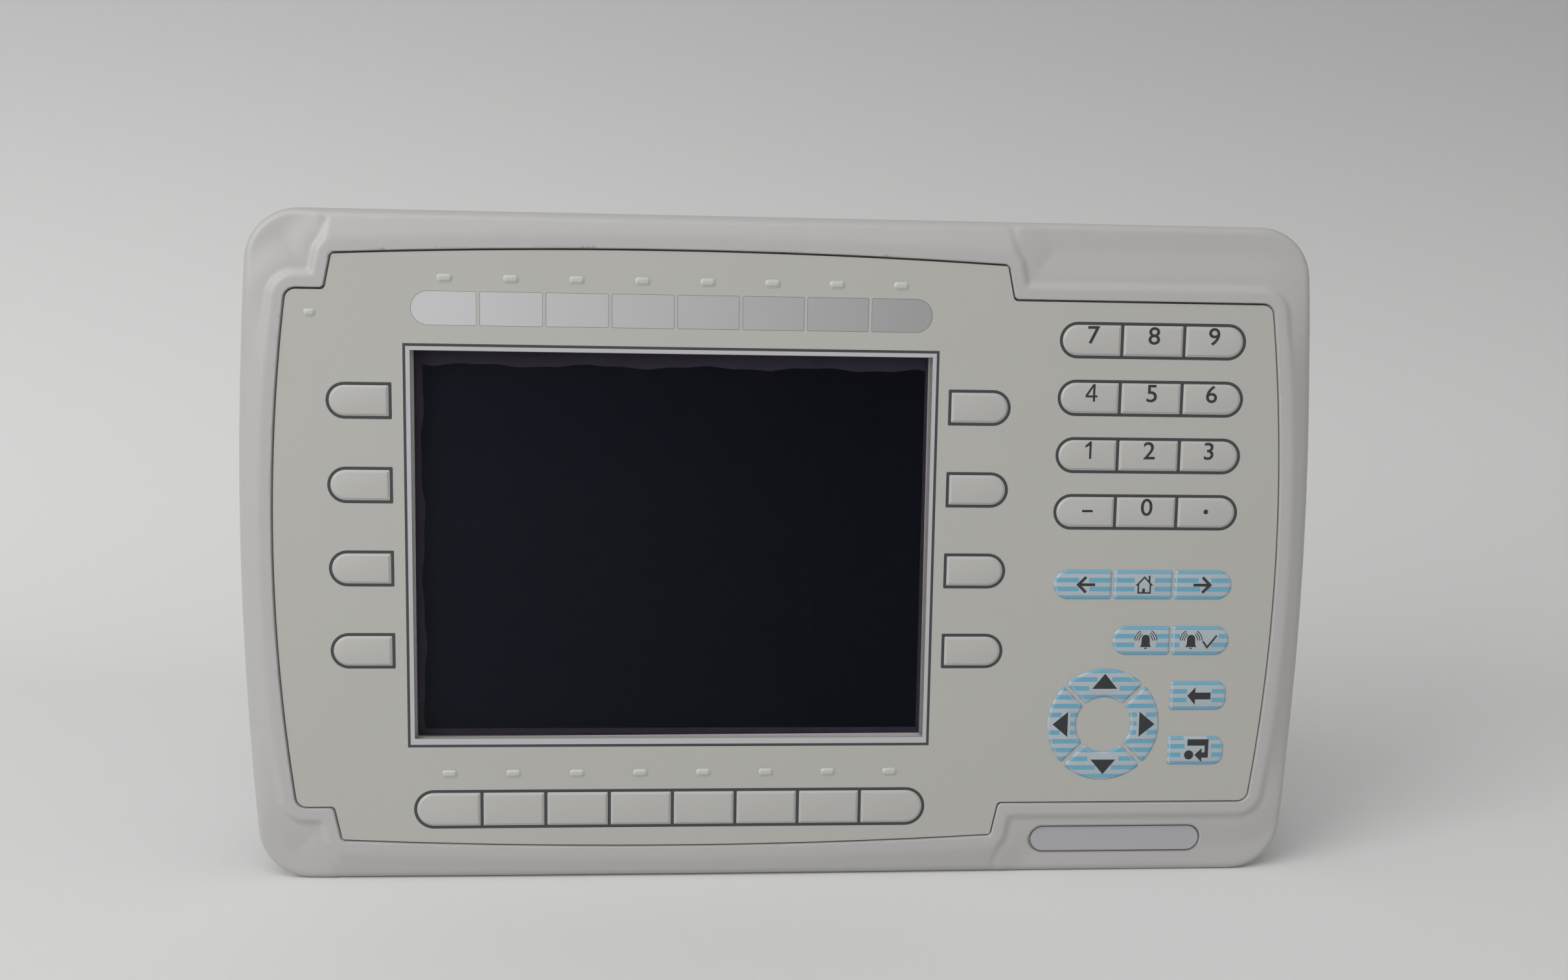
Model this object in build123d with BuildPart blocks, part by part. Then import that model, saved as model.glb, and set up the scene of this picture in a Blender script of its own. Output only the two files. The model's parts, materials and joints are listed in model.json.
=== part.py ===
"""Operator panel for a machine: a moulded front frame with a membrane keypad and a 6.5 inch display,
and a sheet-metal rear box with its circuit board and connectors. It mounts in a cut-out in a cabinet door.

The part's frame: X to the right, Y into the cabinet, Z up. The origin is the centre of the mounting
face, where the back of the front frame meets the door. Sketches lie parallel to that face, and a height
is a distance from it towards the operator, so it is negative inside the cabinet.
"""

import os
from math import cos, radians, sin, sqrt

from build123d import *

os.makedirs("parts", exist_ok=True)

# Front frame, overall
panel_width = 285.0
panel_height = 177.0
side_bow = 4.0
corner_radius = 14.0
rim_height = 4.0
rim_rounding = 2.2
lip_height = 6.0
lip_width = 3.0
lip_slope = 1.9
ramp_run = 5.5
ramp_drop = 2.6

# Outline of the keypad overlay, which the lip follows. The corner fields are the frame's lower corners
frame_border = 9.1
overlay_side_sagitta = 4.7
overlay_bow_sagitta = 2.2
corner_field_depth = 11.2
left_field_width = 11.5
right_field_width = 71.5
overlay_step_slant = 1.9
overlay_corner_radius = 3.0
overlay_step_cut = 0.7

# Layers of the membrane keypad, from the operator inwards
overlay_recess = 0.45
overlay_thickness = 0.5
spacer_thickness = 0.85
circuit_thickness = 0.6
overlay_gap = 0.2
emboss_height = 0.4
key_travel = 0.4
key_clearance = 0.1
spacer_clearance = 0.5
spacer_inset = 0.5
dome_play = 0.1
dome_radius = 3.0
dome_crown_radius = 1.2
dome_foot = 0.08
dome_centre_radius = 11.4
tail_x = 88.0
tail_z = -64.0
tail_width = 14.0
tail_clearance = 0.3
tail_socket = (18.0, 3.0, 4.0)

# Display
display_centre = (-30.1, 1.6)
display_opening = (134.6, 102.2)
lens_margin = 2.0
lens_clearance = 0.3
module_size = (153.6, 118.6)
module_depth = 9.5
module_pocket_clearance = 0.4
module_pocket_depth = 1.4
module_face_recess = 0.8
module_bead_size = (104.0, 74.0)
module_bead_depth = 1.2

# The rows above and below the display have this many keys, legend windows and lamps each
row_count = 8

# Outlined keys: the outlines are printed around the openings of the overlay
stroke = 0.78
soft_key_size = (16.7, 9.5)
soft_key_top_z = 44.5
soft_key_pitch = 21.85
soft_key_left_x = -119.1
soft_key_right_x = 42.2
function_row_centre = (-29.7, -68.85)
function_row_height = 10.6
function_pitch = 16.87
function_end_extra = 1.0
digit_row_x = 71.4
digit_row_top_z = 62.8
digit_row_height = 9.65
digit_row_pitch = 15.25
digit_pitch = 16.8

# Striped keys without outlines
plain_key_height = 8.2
plain_key_gap = 0.9
plain_key_pitch = 16.7
plain_right_x = 121.35
nav_row_top_z = -3.4
alarm_row_top_z = -18.75
backspace_top_z = -34.1
enter_top_z = -49.5
pad_centre = (87.4, -46.2)
pad_outer_radius = 15.6
pad_inner_radius = 7.5
pad_gap = 1.3
pad_corner = 0.8
round_share = 0.49

# Legend windows and status lamps
legend_row_centre = (-30.0, 63.25)
legend_row_height = 8.7
legend_pitch = 16.87
legend_gap = 1.45
legend_thickness = 0.45
legend_clearance = 0.08
lamp_size = (4.2, 2.3)
lamp_height = 0.35
lamp_bevel = 0.3
lamp_clearance = 0.08
lamp_pitch = 16.8
lamp_row_x = -29.9
lamp_top_z = 71.3
lamp_bottom_z = -59.1
power_lamp_centre = (-122.7, 62.0)
power_lamp_size = (3.2, 2.2)

# Recess for the name plate
plate_centre = (92.4, -78.9)
plate_size = (48.2, 7.8)
plate_recess = 0.5

# Stiffening pockets in the back of the frame, right and left of the display
pocket_depth = 1.2
pocket_rib = 1.6
right_pockets = (66.0, 116.0)
right_pocket_columns = 2
left_pockets = (-127.0, -110.5)
left_pocket_columns = 1
pocket_rows = 5
pocket_reach_z = 60.0

# Rear box
box_width = 260.0
box_height = 152.0
box_depth = 54.2
box_wall = 1.5
box_corner = 4.0
box_back_chamfer = 2.0
back_panel_margin = (22.0, 20.0)
back_panel_recess = 0.6
back_panel_corner = 8.0

# Air slots in the top and bottom of the rear box
air_slot_width = 2.6
air_slot_length = 16.0
air_slot_pitch = 8.0
air_slot_height = -37.0
top_air_slots = 24
bottom_air_slots = 5
bottom_air_x = -5.0

# Slots for the hooks of the mounting clamps
clamp_slot = (12.0, 3.0)
clamp_slot_height = -10.0
clamp_spacing = 190.0

# Seal around the rear box
seal_gap = 0.5
seal_width = 6.0
seal_channel_depth = 1.5
seal_proud = 1.0
seal_clearance = 0.15
seal_bevel = 0.8

# Circuit board, and the pillars that carry it and the rear box
board_height = -20.0
board_thickness = 1.6
board_edge_gap = 4.0
pillar_x = (-122.0, 122.0)
pillar_z = 67.0
pillar_across_flats = 5.5
screw_shank_radius = 1.45
screw_flats = 8
screw_thread_clearance = 0.05
screw_hole_clearance = 0.25
screw_length = 8.0
screw_head_radius = 2.8
screw_head_height = 1.8

# Connectors on the underside of the rear box, by the X of their centres
port_clearance = 0.3
power_x = -108.0
power_size = (17.0, 8.6, 12.0)
power_wall = 0.9
power_cavity_depth = 8.5
power_poles = 3
power_pitch = 5.08
power_pin = 1.0
power_pin_length = 7.0
serial_flange_thickness = 0.8
serial_flange_height = 12.5
serial_body_height = 10.7
serial_body_depth = 10.0
serial_shell_height = 8.36
serial_shell_reach = 5.0
serial_shell_wall = 0.45
serial_shell_angle = 80.0
serial_shell_corner = 1.6
serial_insert_setback = 1.0
serial_25_x = -62.0
serial_25_flange = 53.0
serial_25_shell = 38.96
serial_25_spacing = 47.04
serial_9_x = 29.0
serial_9_flange = 30.8
serial_9_shell = 16.92
serial_9_spacing = 24.99
jackscrew_across_flats = 4.8
jackscrew_height = 5.0
ethernet_x = 64.0
ethernet_size = (16.0, 13.5, 21.0)
ethernet_mouth = (11.8, 6.9)
ethernet_latch = ((6.2, 2.0), (3.4, 1.5))
ethernet_cavity_depth = 13.0
usb_host_x = 83.0
usb_host_size = (13.2, 6.2, 14.0)
usb_host_tongue = (11.0, 1.9)
usb_device_x = 103.0
usb_device_size = (12.0, 11.0, 16.0)
usb_device_mouth = (8.5, 7.8)
usb_device_slope = 1.6
usb_device_tongue = (5.6, 3.2)
usb_wall = 0.35
usb_cavity_depth = 9.0
usb_tongue_setback = 0.8

# Memory card socket on the right side
card_z = 8.0
card_shell = (9.0, 48.0, 34.0)
card_mouth = (5.6, 43.6)
card_cavity_depth = 30.0
eject_button_size = (4.0, 5.6)
eject_button_rest = 1.0
eject_button_length = 24.0
eject_button_rounding = 0.8
eject_travel = 3.0
eject_clearance = 0.2

# Heights that follow from the layers
overlay_front = lip_height - overlay_recess
overlay_back = overlay_front - overlay_thickness
spacer_back = overlay_back - spacer_thickness
recess_floor = spacer_back - circuit_thickness
key_front = overlay_front + emboss_height
dome_height = spacer_thickness - key_travel - dome_play
board_back = board_height - board_thickness
box_bottom_z = -box_height / 2
box_side_x = box_width / 2


def front(height):
    """The plane parallel to the mounting face at a height towards the operator."""
    return Plane.XZ.offset(height)


def level(z):
    """A horizontal plane, with its second direction into the cabinet."""
    return Plane.XY.offset(z)


def flank(x):
    """A plane parallel to the right side of the box, with its second direction up."""
    return Plane.YZ.offset(x)


def write(piece, name):
    piece.part.label = name
    export_step(piece.part, f"parts/{name}.step")


# Outlines, each drawn once on the XY plane and placed where a piece needs it

half_height = panel_height / 2
outer_corner_x = panel_width / 2 - side_bow
with BuildSketch() as outer_outline:
    with BuildLine():
        Line((-outer_corner_x, -half_height), (outer_corner_x, -half_height))
        ThreePointArc((outer_corner_x, -half_height), (panel_width / 2, 0), (outer_corner_x, half_height))
        Line((outer_corner_x, half_height), (-outer_corner_x, half_height))
        ThreePointArc((-outer_corner_x, half_height), (-panel_width / 2, 0), (-outer_corner_x, -half_height))
    make_face()
    fillet(outer_outline.vertices(), corner_radius)

overlay_half_width = panel_width / 2 - frame_border
side_corner_x = overlay_half_width - overlay_side_sagitta
bow_top_z = half_height - frame_border
bow_end_z = bow_top_z - overlay_bow_sagitta
overlay_step_z = bow_top_z - corner_field_depth
bow_left_x = left_field_width - side_corner_x
bow_right_x = side_corner_x - right_field_width
bow_centre_x = (bow_left_x + bow_right_x) / 2
bow_half_width = (bow_right_x - bow_left_x) / 2
step_left_x = bow_left_x - overlay_step_slant
step_right_x = bow_right_x + overlay_step_slant
with BuildSketch() as overlay_outline:
    with BuildLine():
        ThreePointArc(
            (side_corner_x, -overlay_step_z), (overlay_half_width, 0), (side_corner_x, overlay_step_z)
        )
        Polyline((side_corner_x, overlay_step_z), (step_right_x, overlay_step_z), (bow_right_x, bow_end_z))
        ThreePointArc((bow_right_x, bow_end_z), (bow_centre_x, bow_top_z), (bow_left_x, bow_end_z))
        Polyline((bow_left_x, bow_end_z), (step_left_x, overlay_step_z), (-side_corner_x, overlay_step_z))
        ThreePointArc(
            (-side_corner_x, overlay_step_z), (-overlay_half_width, 0), (-side_corner_x, -overlay_step_z)
        )
        Polyline((-side_corner_x, -overlay_step_z), (step_left_x, -overlay_step_z), (bow_left_x, -bow_end_z))
        ThreePointArc((bow_left_x, -bow_end_z), (bow_centre_x, -bow_top_z), (bow_right_x, -bow_end_z))
        Polyline((bow_right_x, -bow_end_z), (step_right_x, -overlay_step_z), (side_corner_x, -overlay_step_z))
    make_face()
    side_corners = overlay_outline.vertices().filter_by(lambda v: abs(abs(v.X) - side_corner_x) < 0.01)
    fillet(side_corners, overlay_corner_radius)
    step_corners = overlay_outline.vertices().filter_by(lambda v: step_left_x - 1 < v.X < step_right_x + 1)
    chamfer(step_corners, overlay_step_cut)


def overlay_face(margin):
    """The overlay's outline grown by a margin."""
    with BuildSketch() as grown:
        add(overlay_outline.sketch)
        offset(amount=margin, kind=Kind.INTERSECTION)
    return grown.sketch


def display_face(margin):
    """The display opening grown by a margin."""
    with BuildSketch() as grown:
        with Locations(display_centre):
            Rectangle(display_opening[0] + 2 * margin, display_opening[1] + 2 * margin)
    return grown.sketch


def bar_face(x_low, x_high, z_low, z_high, round_left, round_right, margin):
    """A bar with square or half-round ends, grown by a margin."""
    height = z_high - z_low + 2 * margin
    with BuildSketch() as bar:
        with Locations(((x_low + x_high) / 2, (z_low + z_high) / 2)):
            Rectangle(x_high - x_low + 2 * margin, height)
        for end, is_round in ((0, round_left), (-1, round_right)):
            if is_round:
                fillet(bar.vertices().group_by(Axis.X)[end], round_share * height)
    return bar.sketch


def pad_face(turn, margin):
    """A quarter of the direction pad, grown by a margin. Turn 0 is the upper quarter."""
    apex = (pad_gap / 2 - margin) * sqrt(2)
    reach = pad_outer_radius + 1
    with BuildSketch() as quarter:
        Circle(pad_outer_radius + margin)
        Circle(pad_inner_radius - margin, mode=Mode.SUBTRACT)
        Polygon((0, apex), (reach, apex + reach), (-reach, apex + reach), align=None, mode=Mode.INTERSECT)
        chamfer(quarter.vertices(), pad_corner)
    with BuildSketch() as placed:
        with Locations(pad_centre):
            add(quarter.sketch, rotation=turn)
    return placed.sketch


# Where every key is: each entry gives the outline of its opening in the overlay, for any margin

keys = {}


def add_bar_key(name, x_low, x_high, z_low, z_high, round_left, round_right):
    keys[name] = lambda margin: bar_face(x_low, x_high, z_low, z_high, round_left, round_right, margin)


for row in range(4):
    z_high = soft_key_top_z - row * soft_key_pitch - stroke
    z_low = z_high - soft_key_size[1] + 2 * stroke
    for side, x_low in (("left", soft_key_left_x), ("right", soft_key_right_x)):
        add_bar_key(
            f"soft_key_{side}_{row + 1}",
            x_low + stroke,
            x_low + soft_key_size[0] - stroke,
            z_low,
            z_high,
            side == "left",
            side == "right",
        )

function_z_low = function_row_centre[1] - function_row_height / 2 + stroke
function_z_high = function_z_low + function_row_height - 2 * stroke
function_names = [f"function_key_{number + 1}" for number in range(row_count)]
for number, name in enumerate(function_names):
    x_low = function_row_centre[0] + (number - row_count / 2) * function_pitch + stroke / 2
    x_high = x_low + function_pitch - stroke
    if number == 0:
        x_low += stroke / 2 - function_end_extra
    if number == row_count - 1:
        x_high += function_end_extra - stroke / 2
    add_bar_key(
        name, x_low, x_high, function_z_low, function_z_high, number == 0, number == row_count - 1
    )

digit_rows = (
    ("digit_key_7", "digit_key_8", "digit_key_9"),
    ("digit_key_4", "digit_key_5", "digit_key_6"),
    ("digit_key_1", "digit_key_2", "digit_key_3"),
    ("minus_key", "digit_key_0", "point_key"),
)
for row, names in enumerate(digit_rows):
    z_high = digit_row_top_z - row * digit_row_pitch - stroke
    z_low = z_high - digit_row_height + 2 * stroke
    for column, name in enumerate(names):
        x_low = digit_row_x + column * digit_pitch + (stroke if column == 0 else stroke / 2)
        x_high = digit_row_x + (column + 1) * digit_pitch - (stroke if column == 2 else stroke / 2)
        add_bar_key(name, x_low, x_high, z_low, z_high, column == 0, column == 2)

plain_rows = (
    (nav_row_top_z, ("previous_key", "home_key", "next_key"), True),
    (alarm_row_top_z, (None, "alarm_list_key", "alarm_reset_key"), True),
    (backspace_top_z, (None, None, "backspace_key"), False),
    (enter_top_z, (None, None, "enter_key"), False),
)
for top_z, names, row_is_round in plain_rows:
    first = next(column for column, name in enumerate(names) if name)
    for column, name in enumerate(names):
        if name is None:
            continue
        x_high = plain_right_x - (2 - column) * plain_key_pitch
        x_low = x_high - plain_key_pitch + plain_key_gap
        round_left = row_is_round and column == first
        add_bar_key(name, x_low, x_high, top_z - plain_key_height, top_z, round_left, column == 2)

pad_turns = {"up_key": 0, "left_key": 90, "down_key": 180, "right_key": 270}
for name, turn in pad_turns.items():
    keys[name] = lambda margin, turn=turn: pad_face(turn, margin)

# A dome lies under the middle of each key, and under the middle of each quarter of the pad
dome_centres = []
for name, outline in keys.items():
    if name in pad_turns:
        angle = radians(90 + pad_turns[name])
        away = (dome_centre_radius * cos(angle), dome_centre_radius * sin(angle))
        dome_centres.append((pad_centre[0] + away[0], pad_centre[1] + away[1]))
    else:
        middle = outline(0).bounding_box().center()
        dome_centres.append((middle.X, middle.Y))

lamp_columns = [lamp_row_x + (number - (row_count - 1) / 2) * lamp_pitch for number in range(row_count)]
lamp_centres = [(x, z) for z in (lamp_top_z, lamp_bottom_z) for x in lamp_columns]


def lamp_face(centre, size, margin):
    """A status lamp's outline grown by a margin."""
    with BuildSketch() as lamp:
        with Locations(centre):
            Rectangle(size[0] + 2 * margin, size[1] + 2 * margin)
    return lamp.sketch


def all_lamp_faces(margin):
    lamps = [lamp_face(centre, lamp_size, margin) for centre in lamp_centres]
    return lamps + [lamp_face(power_lamp_centre, power_lamp_size, margin)]


def legend_faces(margin):
    """The windows of the legend row, with its outer ends half round."""
    faces = []
    z_low = legend_row_centre[1] - legend_row_height / 2
    z_high = z_low + legend_row_height
    for number in range(row_count):
        x_low = legend_row_centre[0] + (number - row_count / 2) * legend_pitch + legend_gap / 2
        x_high = x_low + legend_pitch - legend_gap
        faces.append(bar_face(x_low, x_high, z_low, z_high, number == 0, number == row_count - 1, margin))
    return faces


# The box outline is shared by the rear box, the seal and the frame's seal channel


def box_face(margin):
    with BuildSketch() as outline:
        RectangleRounded(box_width + 2 * margin, box_height + 2 * margin, box_corner + margin)
    return outline.sketch


def ramp(arc_start, arc_crown, arc_end, centre, ends_reach):
    """A sloped shoulder of the frame that starts at an arc on the lip and falls away from it.

    The arc is the overlay's edge, centre is the arc's centre, and ends_reach turns the shoulder's end
    faces out by that much over its width.
    """
    edge_radius = (Vector(*arc_crown) - Vector(*centre)).length
    crease = edge_radius + lip_width
    foot = crease + ramp_run
    first = (Vector(*arc_start) - Vector(*centre)).normalized()
    last = (Vector(*arc_end) - Vector(*centre)).normalized()
    middle = (Vector(*arc_crown) - Vector(*centre)).normalized()
    hub = Vector(*centre)
    spread = (last - first).normalized() * ends_reach
    inner_start = hub + first * (crease - lip_width / 2)
    inner_end = hub + last * (crease - lip_width / 2)
    outer_start = hub + (first * foot - spread).normalized() * foot
    outer_end = hub + (last * foot + spread).normalized() * foot
    with BuildPart() as shoulder:
        with BuildSketch(front(rim_height - 1)):
            with BuildLine():
                ThreePointArc(inner_start, hub + middle * (crease - lip_width / 2), inner_end)
                Line(inner_end, outer_end)
                ThreePointArc(outer_end, hub + middle * foot, outer_start)
                Line(outer_start, inner_start)
            make_face()
        extrude(amount=lip_height - rim_height + 1)
        top = shoulder.faces().sort_by(Axis.Y)[0]
        far = Vector(hub.X + middle.X * foot, -lip_height, hub.Y + middle.Y * foot)
        outer_edge = top.edges().sort_by_distance(far)[0]
        chamfer(outer_edge, length=ramp_run, length2=ramp_drop, reference=top)
    return shoulder.part


def arc_centre(half_chord, sagitta, crown_distance):
    """Distance from the origin to the centre of an arc whose crown is at crown_distance."""
    radius = (half_chord**2 + sagitta**2) / (2 * sagitta)
    return crown_distance - radius


bow_centre_z = arc_centre(bow_half_width, bow_top_z - bow_end_z, bow_top_z)
side_centre_x = arc_centre(overlay_step_z, overlay_side_sagitta, overlay_half_width)

tail_centre = (tail_x, tail_z)
tail_slot = (tail_width + 2 * tail_clearance, circuit_thickness + 2 * tail_clearance)

with BuildPart() as front_bezel:
    with BuildSketch(front(0)):
        add(outer_outline.sketch)
    extrude(amount=rim_height)
    fillet(front_bezel.faces().sort_by(Axis.Y)[0].edges(), rim_rounding)
    with BuildSketch(front(rim_height)):
        add(overlay_face(lip_width + lip_slope))
    extrude(amount=lip_height - rim_height)
    chamfer(front_bezel.faces().sort_by(Axis.Y)[0].edges(), lip_slope)
    for up in (1, -1):
        add(
            ramp(
                (bow_left_x, up * bow_end_z),
                (bow_centre_x, up * bow_top_z),
                (bow_right_x, up * bow_end_z),
                (bow_centre_x, up * bow_centre_z),
                lip_width,
            )
        )
    for side in (1, -1):
        add(
            ramp(
                (side * side_corner_x, -overlay_step_z),
                (side * overlay_half_width, 0),
                (side * side_corner_x, overlay_step_z),
                (side * side_centre_x, 0),
                lip_width,
            )
        )
    with BuildSketch(front(recess_floor)):
        add(overlay_face(overlay_gap))
    extrude(amount=lip_height, mode=Mode.SUBTRACT)
    with BuildSketch(front(0)):
        add(display_face(0))
    extrude(amount=lip_height, mode=Mode.SUBTRACT)
    with BuildSketch(front(rim_height - plate_recess)):
        with Locations(plate_centre):
            SlotOverall(*plate_size)
    extrude(amount=lip_height, mode=Mode.SUBTRACT)
    with BuildSketch(front(0)):
        with Locations(display_centre):
            Rectangle(
                module_size[0] + 2 * module_pocket_clearance, module_size[1] + 2 * module_pocket_clearance
            )
    extrude(amount=module_pocket_depth, mode=Mode.SUBTRACT)
    with BuildSketch(front(0)):
        add(box_face(seal_gap + seal_width))
        add(box_face(seal_gap), mode=Mode.SUBTRACT)
    extrude(amount=seal_channel_depth, mode=Mode.SUBTRACT)
    for (x_low, x_high), columns in (
        (right_pockets, right_pocket_columns),
        (left_pockets, left_pocket_columns),
    ):
        pitch_x = (x_high - x_low + pocket_rib) / columns
        pitch_z = (2 * pocket_reach_z + pocket_rib) / pocket_rows
        with BuildSketch(front(0)):
            with Locations(((x_low + x_high) / 2, 0)):
                with GridLocations(pitch_x, pitch_z, columns, pocket_rows):
                    Rectangle(pitch_x - pocket_rib, pitch_z - pocket_rib)
        extrude(amount=pocket_depth, mode=Mode.SUBTRACT)
    with BuildSketch(front(0)):
        with Locations(tail_centre):
            Rectangle(*tail_slot)
    extrude(amount=recess_floor, mode=Mode.SUBTRACT)
write(front_bezel, "front_bezel")

with BuildPart() as overlay_film:
    with BuildSketch(front(overlay_back)):
        add(overlay_outline.sketch)
        add(display_face(0), mode=Mode.SUBTRACT)
        add([outline(0) for outline in keys.values()], mode=Mode.SUBTRACT)
        add(all_lamp_faces(lamp_clearance) + legend_faces(legend_clearance), mode=Mode.SUBTRACT)
    extrude(amount=overlay_thickness)
write(overlay_film, "overlay_film")


def row_window(name):
    """A plain window around a key. The windows of a row run into each other."""
    bounds = keys[name](spacer_clearance).bounding_box()
    with BuildSketch() as window:
        with Locations(bounds.center()):
            Rectangle(bounds.size.X, bounds.size.Y)
    return window.sketch


with BuildPart() as key_spacer:
    with BuildSketch(front(spacer_back)):
        add(overlay_face(-spacer_inset))
        add(display_face(lens_margin + lens_clearance), mode=Mode.SUBTRACT)
        add([row_window(name) for name in keys if name not in pad_turns], mode=Mode.SUBTRACT)
        with Locations(pad_centre):
            Circle(pad_outer_radius + spacer_clearance, mode=Mode.SUBTRACT)
        add(all_lamp_faces(lamp_clearance), mode=Mode.SUBTRACT)
    extrude(amount=spacer_thickness)
write(key_spacer, "key_spacer")

with BuildPart() as keypad_circuit:
    with BuildSketch(front(recess_floor)):
        add(overlay_face(-spacer_inset))
        add(display_face(lens_margin + lens_clearance), mode=Mode.SUBTRACT)
    extrude(amount=circuit_thickness)
    with BuildSketch(front(board_height)):
        with Locations(tail_centre):
            Rectangle(tail_width, circuit_thickness)
    extrude(amount=recess_floor - board_height)
write(keypad_circuit, "keypad_circuit")

# The domes are the kind with four legs and a flat crown, as high as the key's travel allows
with BuildPart() as dome:
    with BuildSketch(Plane.XZ):
        Rectangle(2 * dome_radius, 2 * dome_radius)
    extrude(amount=dome_height)
    crown = dome.faces().sort_by(Axis.Y)[0]
    slope = dome_radius - dome_crown_radius
    chamfer(crown.edges(), length=slope, length2=dome_height - dome_foot, reference=crown)
with BuildPart() as snap_domes:
    with Locations(*[(x, -spacer_back, z) for x, z in dome_centres]):
        add(dome.part)
write(snap_domes, "snap_domes")

for name, outline in keys.items():
    with BuildPart() as key:
        with BuildSketch(front(overlay_back)):
            add(outline(-key_clearance))
        extrude(amount=key_front - overlay_back)
    write(key, name)

with BuildPart() as display_window:
    with BuildSketch(front(recess_floor)):
        add(display_face(lens_margin))
    extrude(amount=overlay_back - recess_floor)
write(display_window, "display_window")

with BuildPart() as legend_windows:
    with BuildSketch(front(overlay_back)):
        add(legend_faces(0))
    extrude(amount=legend_thickness)
write(legend_windows, "legend_windows")

with BuildPart() as status_lamps:
    with BuildSketch(front(spacer_back)):
        add(all_lamp_faces(0))
    extrude(amount=overlay_front + lamp_height - spacer_back)
    crowns = status_lamps.faces().filter_by(Axis.Y).group_by(Axis.Y)[0]
    chamfer(crowns.edges(), lamp_bevel)
write(status_lamps, "status_lamps")

with BuildPart() as lcd_module:
    with BuildSketch(front(module_pocket_depth)):
        with Locations(display_centre):
            Rectangle(*module_size)
    extrude(amount=-module_depth)
    with BuildSketch(front(module_pocket_depth)):
        add(display_face(0))
    extrude(amount=-module_face_recess, mode=Mode.SUBTRACT)
    with BuildSketch(front(module_pocket_depth - module_depth)):
        with Locations(display_centre):
            Rectangle(*module_bead_size)
    extrude(amount=-module_bead_depth)
write(lcd_module, "lcd_module")

with BuildPart() as panel_seal:
    with BuildSketch(front(seal_channel_depth)):
        add(box_face(seal_gap + seal_width - seal_clearance))
        add(box_face(seal_gap + seal_clearance), mode=Mode.SUBTRACT)
    extrude(amount=-(seal_channel_depth + seal_proud))
    chamfer(panel_seal.faces().sort_by(Axis.Y)[-1].edges(), seal_bevel)
write(panel_seal, "panel_seal")

pillar_centres = [(x, z) for x in pillar_x for z in (-pillar_z, pillar_z)]
with BuildPart() as main_board:
    with BuildSketch(front(board_back)):
        board_inset = 2 * (box_wall + board_edge_gap)
        Rectangle(box_width - board_inset, box_height - board_inset)
    extrude(amount=board_thickness)
    with BuildSketch(front(board_height)):
        with Locations(tail_centre):
            Rectangle(tail_socket[0], tail_socket[1])
            Rectangle(*tail_slot, mode=Mode.SUBTRACT)
    extrude(amount=tail_socket[2])
write(main_board, "main_board")

box_inner_back = -(box_depth - box_wall)
with BuildPart() as board_standoffs:
    for low, high in ((board_height, 0), (box_inner_back, board_back)):
        with BuildSketch(front(low)):
            with Locations(*pillar_centres):
                RegularPolygon(pillar_across_flats / 2, 6, major_radius=False)
        extrude(amount=high - low)
    with BuildSketch(front(box_inner_back)):
        with Locations(*pillar_centres):
            RegularPolygon(screw_shank_radius + screw_thread_clearance, screw_flats)
    extrude(amount=screw_length, mode=Mode.SUBTRACT)
write(board_standoffs, "board_standoffs")

# Hexagon-head screws. Their threads are left out, and the shanks and holes have flats instead
with BuildPart() as cover_screws:
    with BuildSketch(front(-box_depth)):
        with Locations(*pillar_centres):
            RegularPolygon(screw_head_radius, 6)
    extrude(amount=-screw_head_height)
    with BuildSketch(front(-box_depth)):
        with Locations(*pillar_centres):
            RegularPolygon(screw_shank_radius, screw_flats)
    extrude(amount=screw_length)
write(cover_screws, "cover_screws")

# The connectors stand on the back of the board, with their mouths in the underside of the box

board_back_y = -board_back
eject_button_stand = eject_travel + eject_button_rest
inner_bottom_z = box_bottom_z + box_wall


def seated(x, size):
    """The centre of a connector's outline of this width and height, standing on the board."""
    return (x, board_back_y + size[1] / 2)


power_centre = seated(power_x, power_size)
with BuildPart() as power_header:
    with BuildSketch(level(box_bottom_z)):
        with Locations(power_centre):
            Rectangle(power_size[0], power_size[1])
    extrude(amount=power_size[2])
    with BuildSketch(level(box_bottom_z)):
        with Locations(power_centre):
            Rectangle(power_size[0] - 2 * power_wall, power_size[1] - 2 * power_wall)
    extrude(amount=power_cavity_depth, mode=Mode.SUBTRACT)
    with BuildSketch(level(box_bottom_z + power_cavity_depth - power_pin_length)):
        with Locations(power_centre):
            with GridLocations(power_pitch, 0, power_poles, 1):
                Rectangle(power_pin, power_pin)
    extrude(amount=power_pin_length)
write(power_header, "power_header")


def serial_shell_face(width, margin):
    """The D-shaped outline of a serial port's shell."""
    with BuildSketch() as shell:
        Trapezoid(width + 2 * margin, serial_shell_height + 2 * margin, serial_shell_angle)
        chamfer(shell.vertices(), serial_shell_corner)
    return shell.sketch


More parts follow.
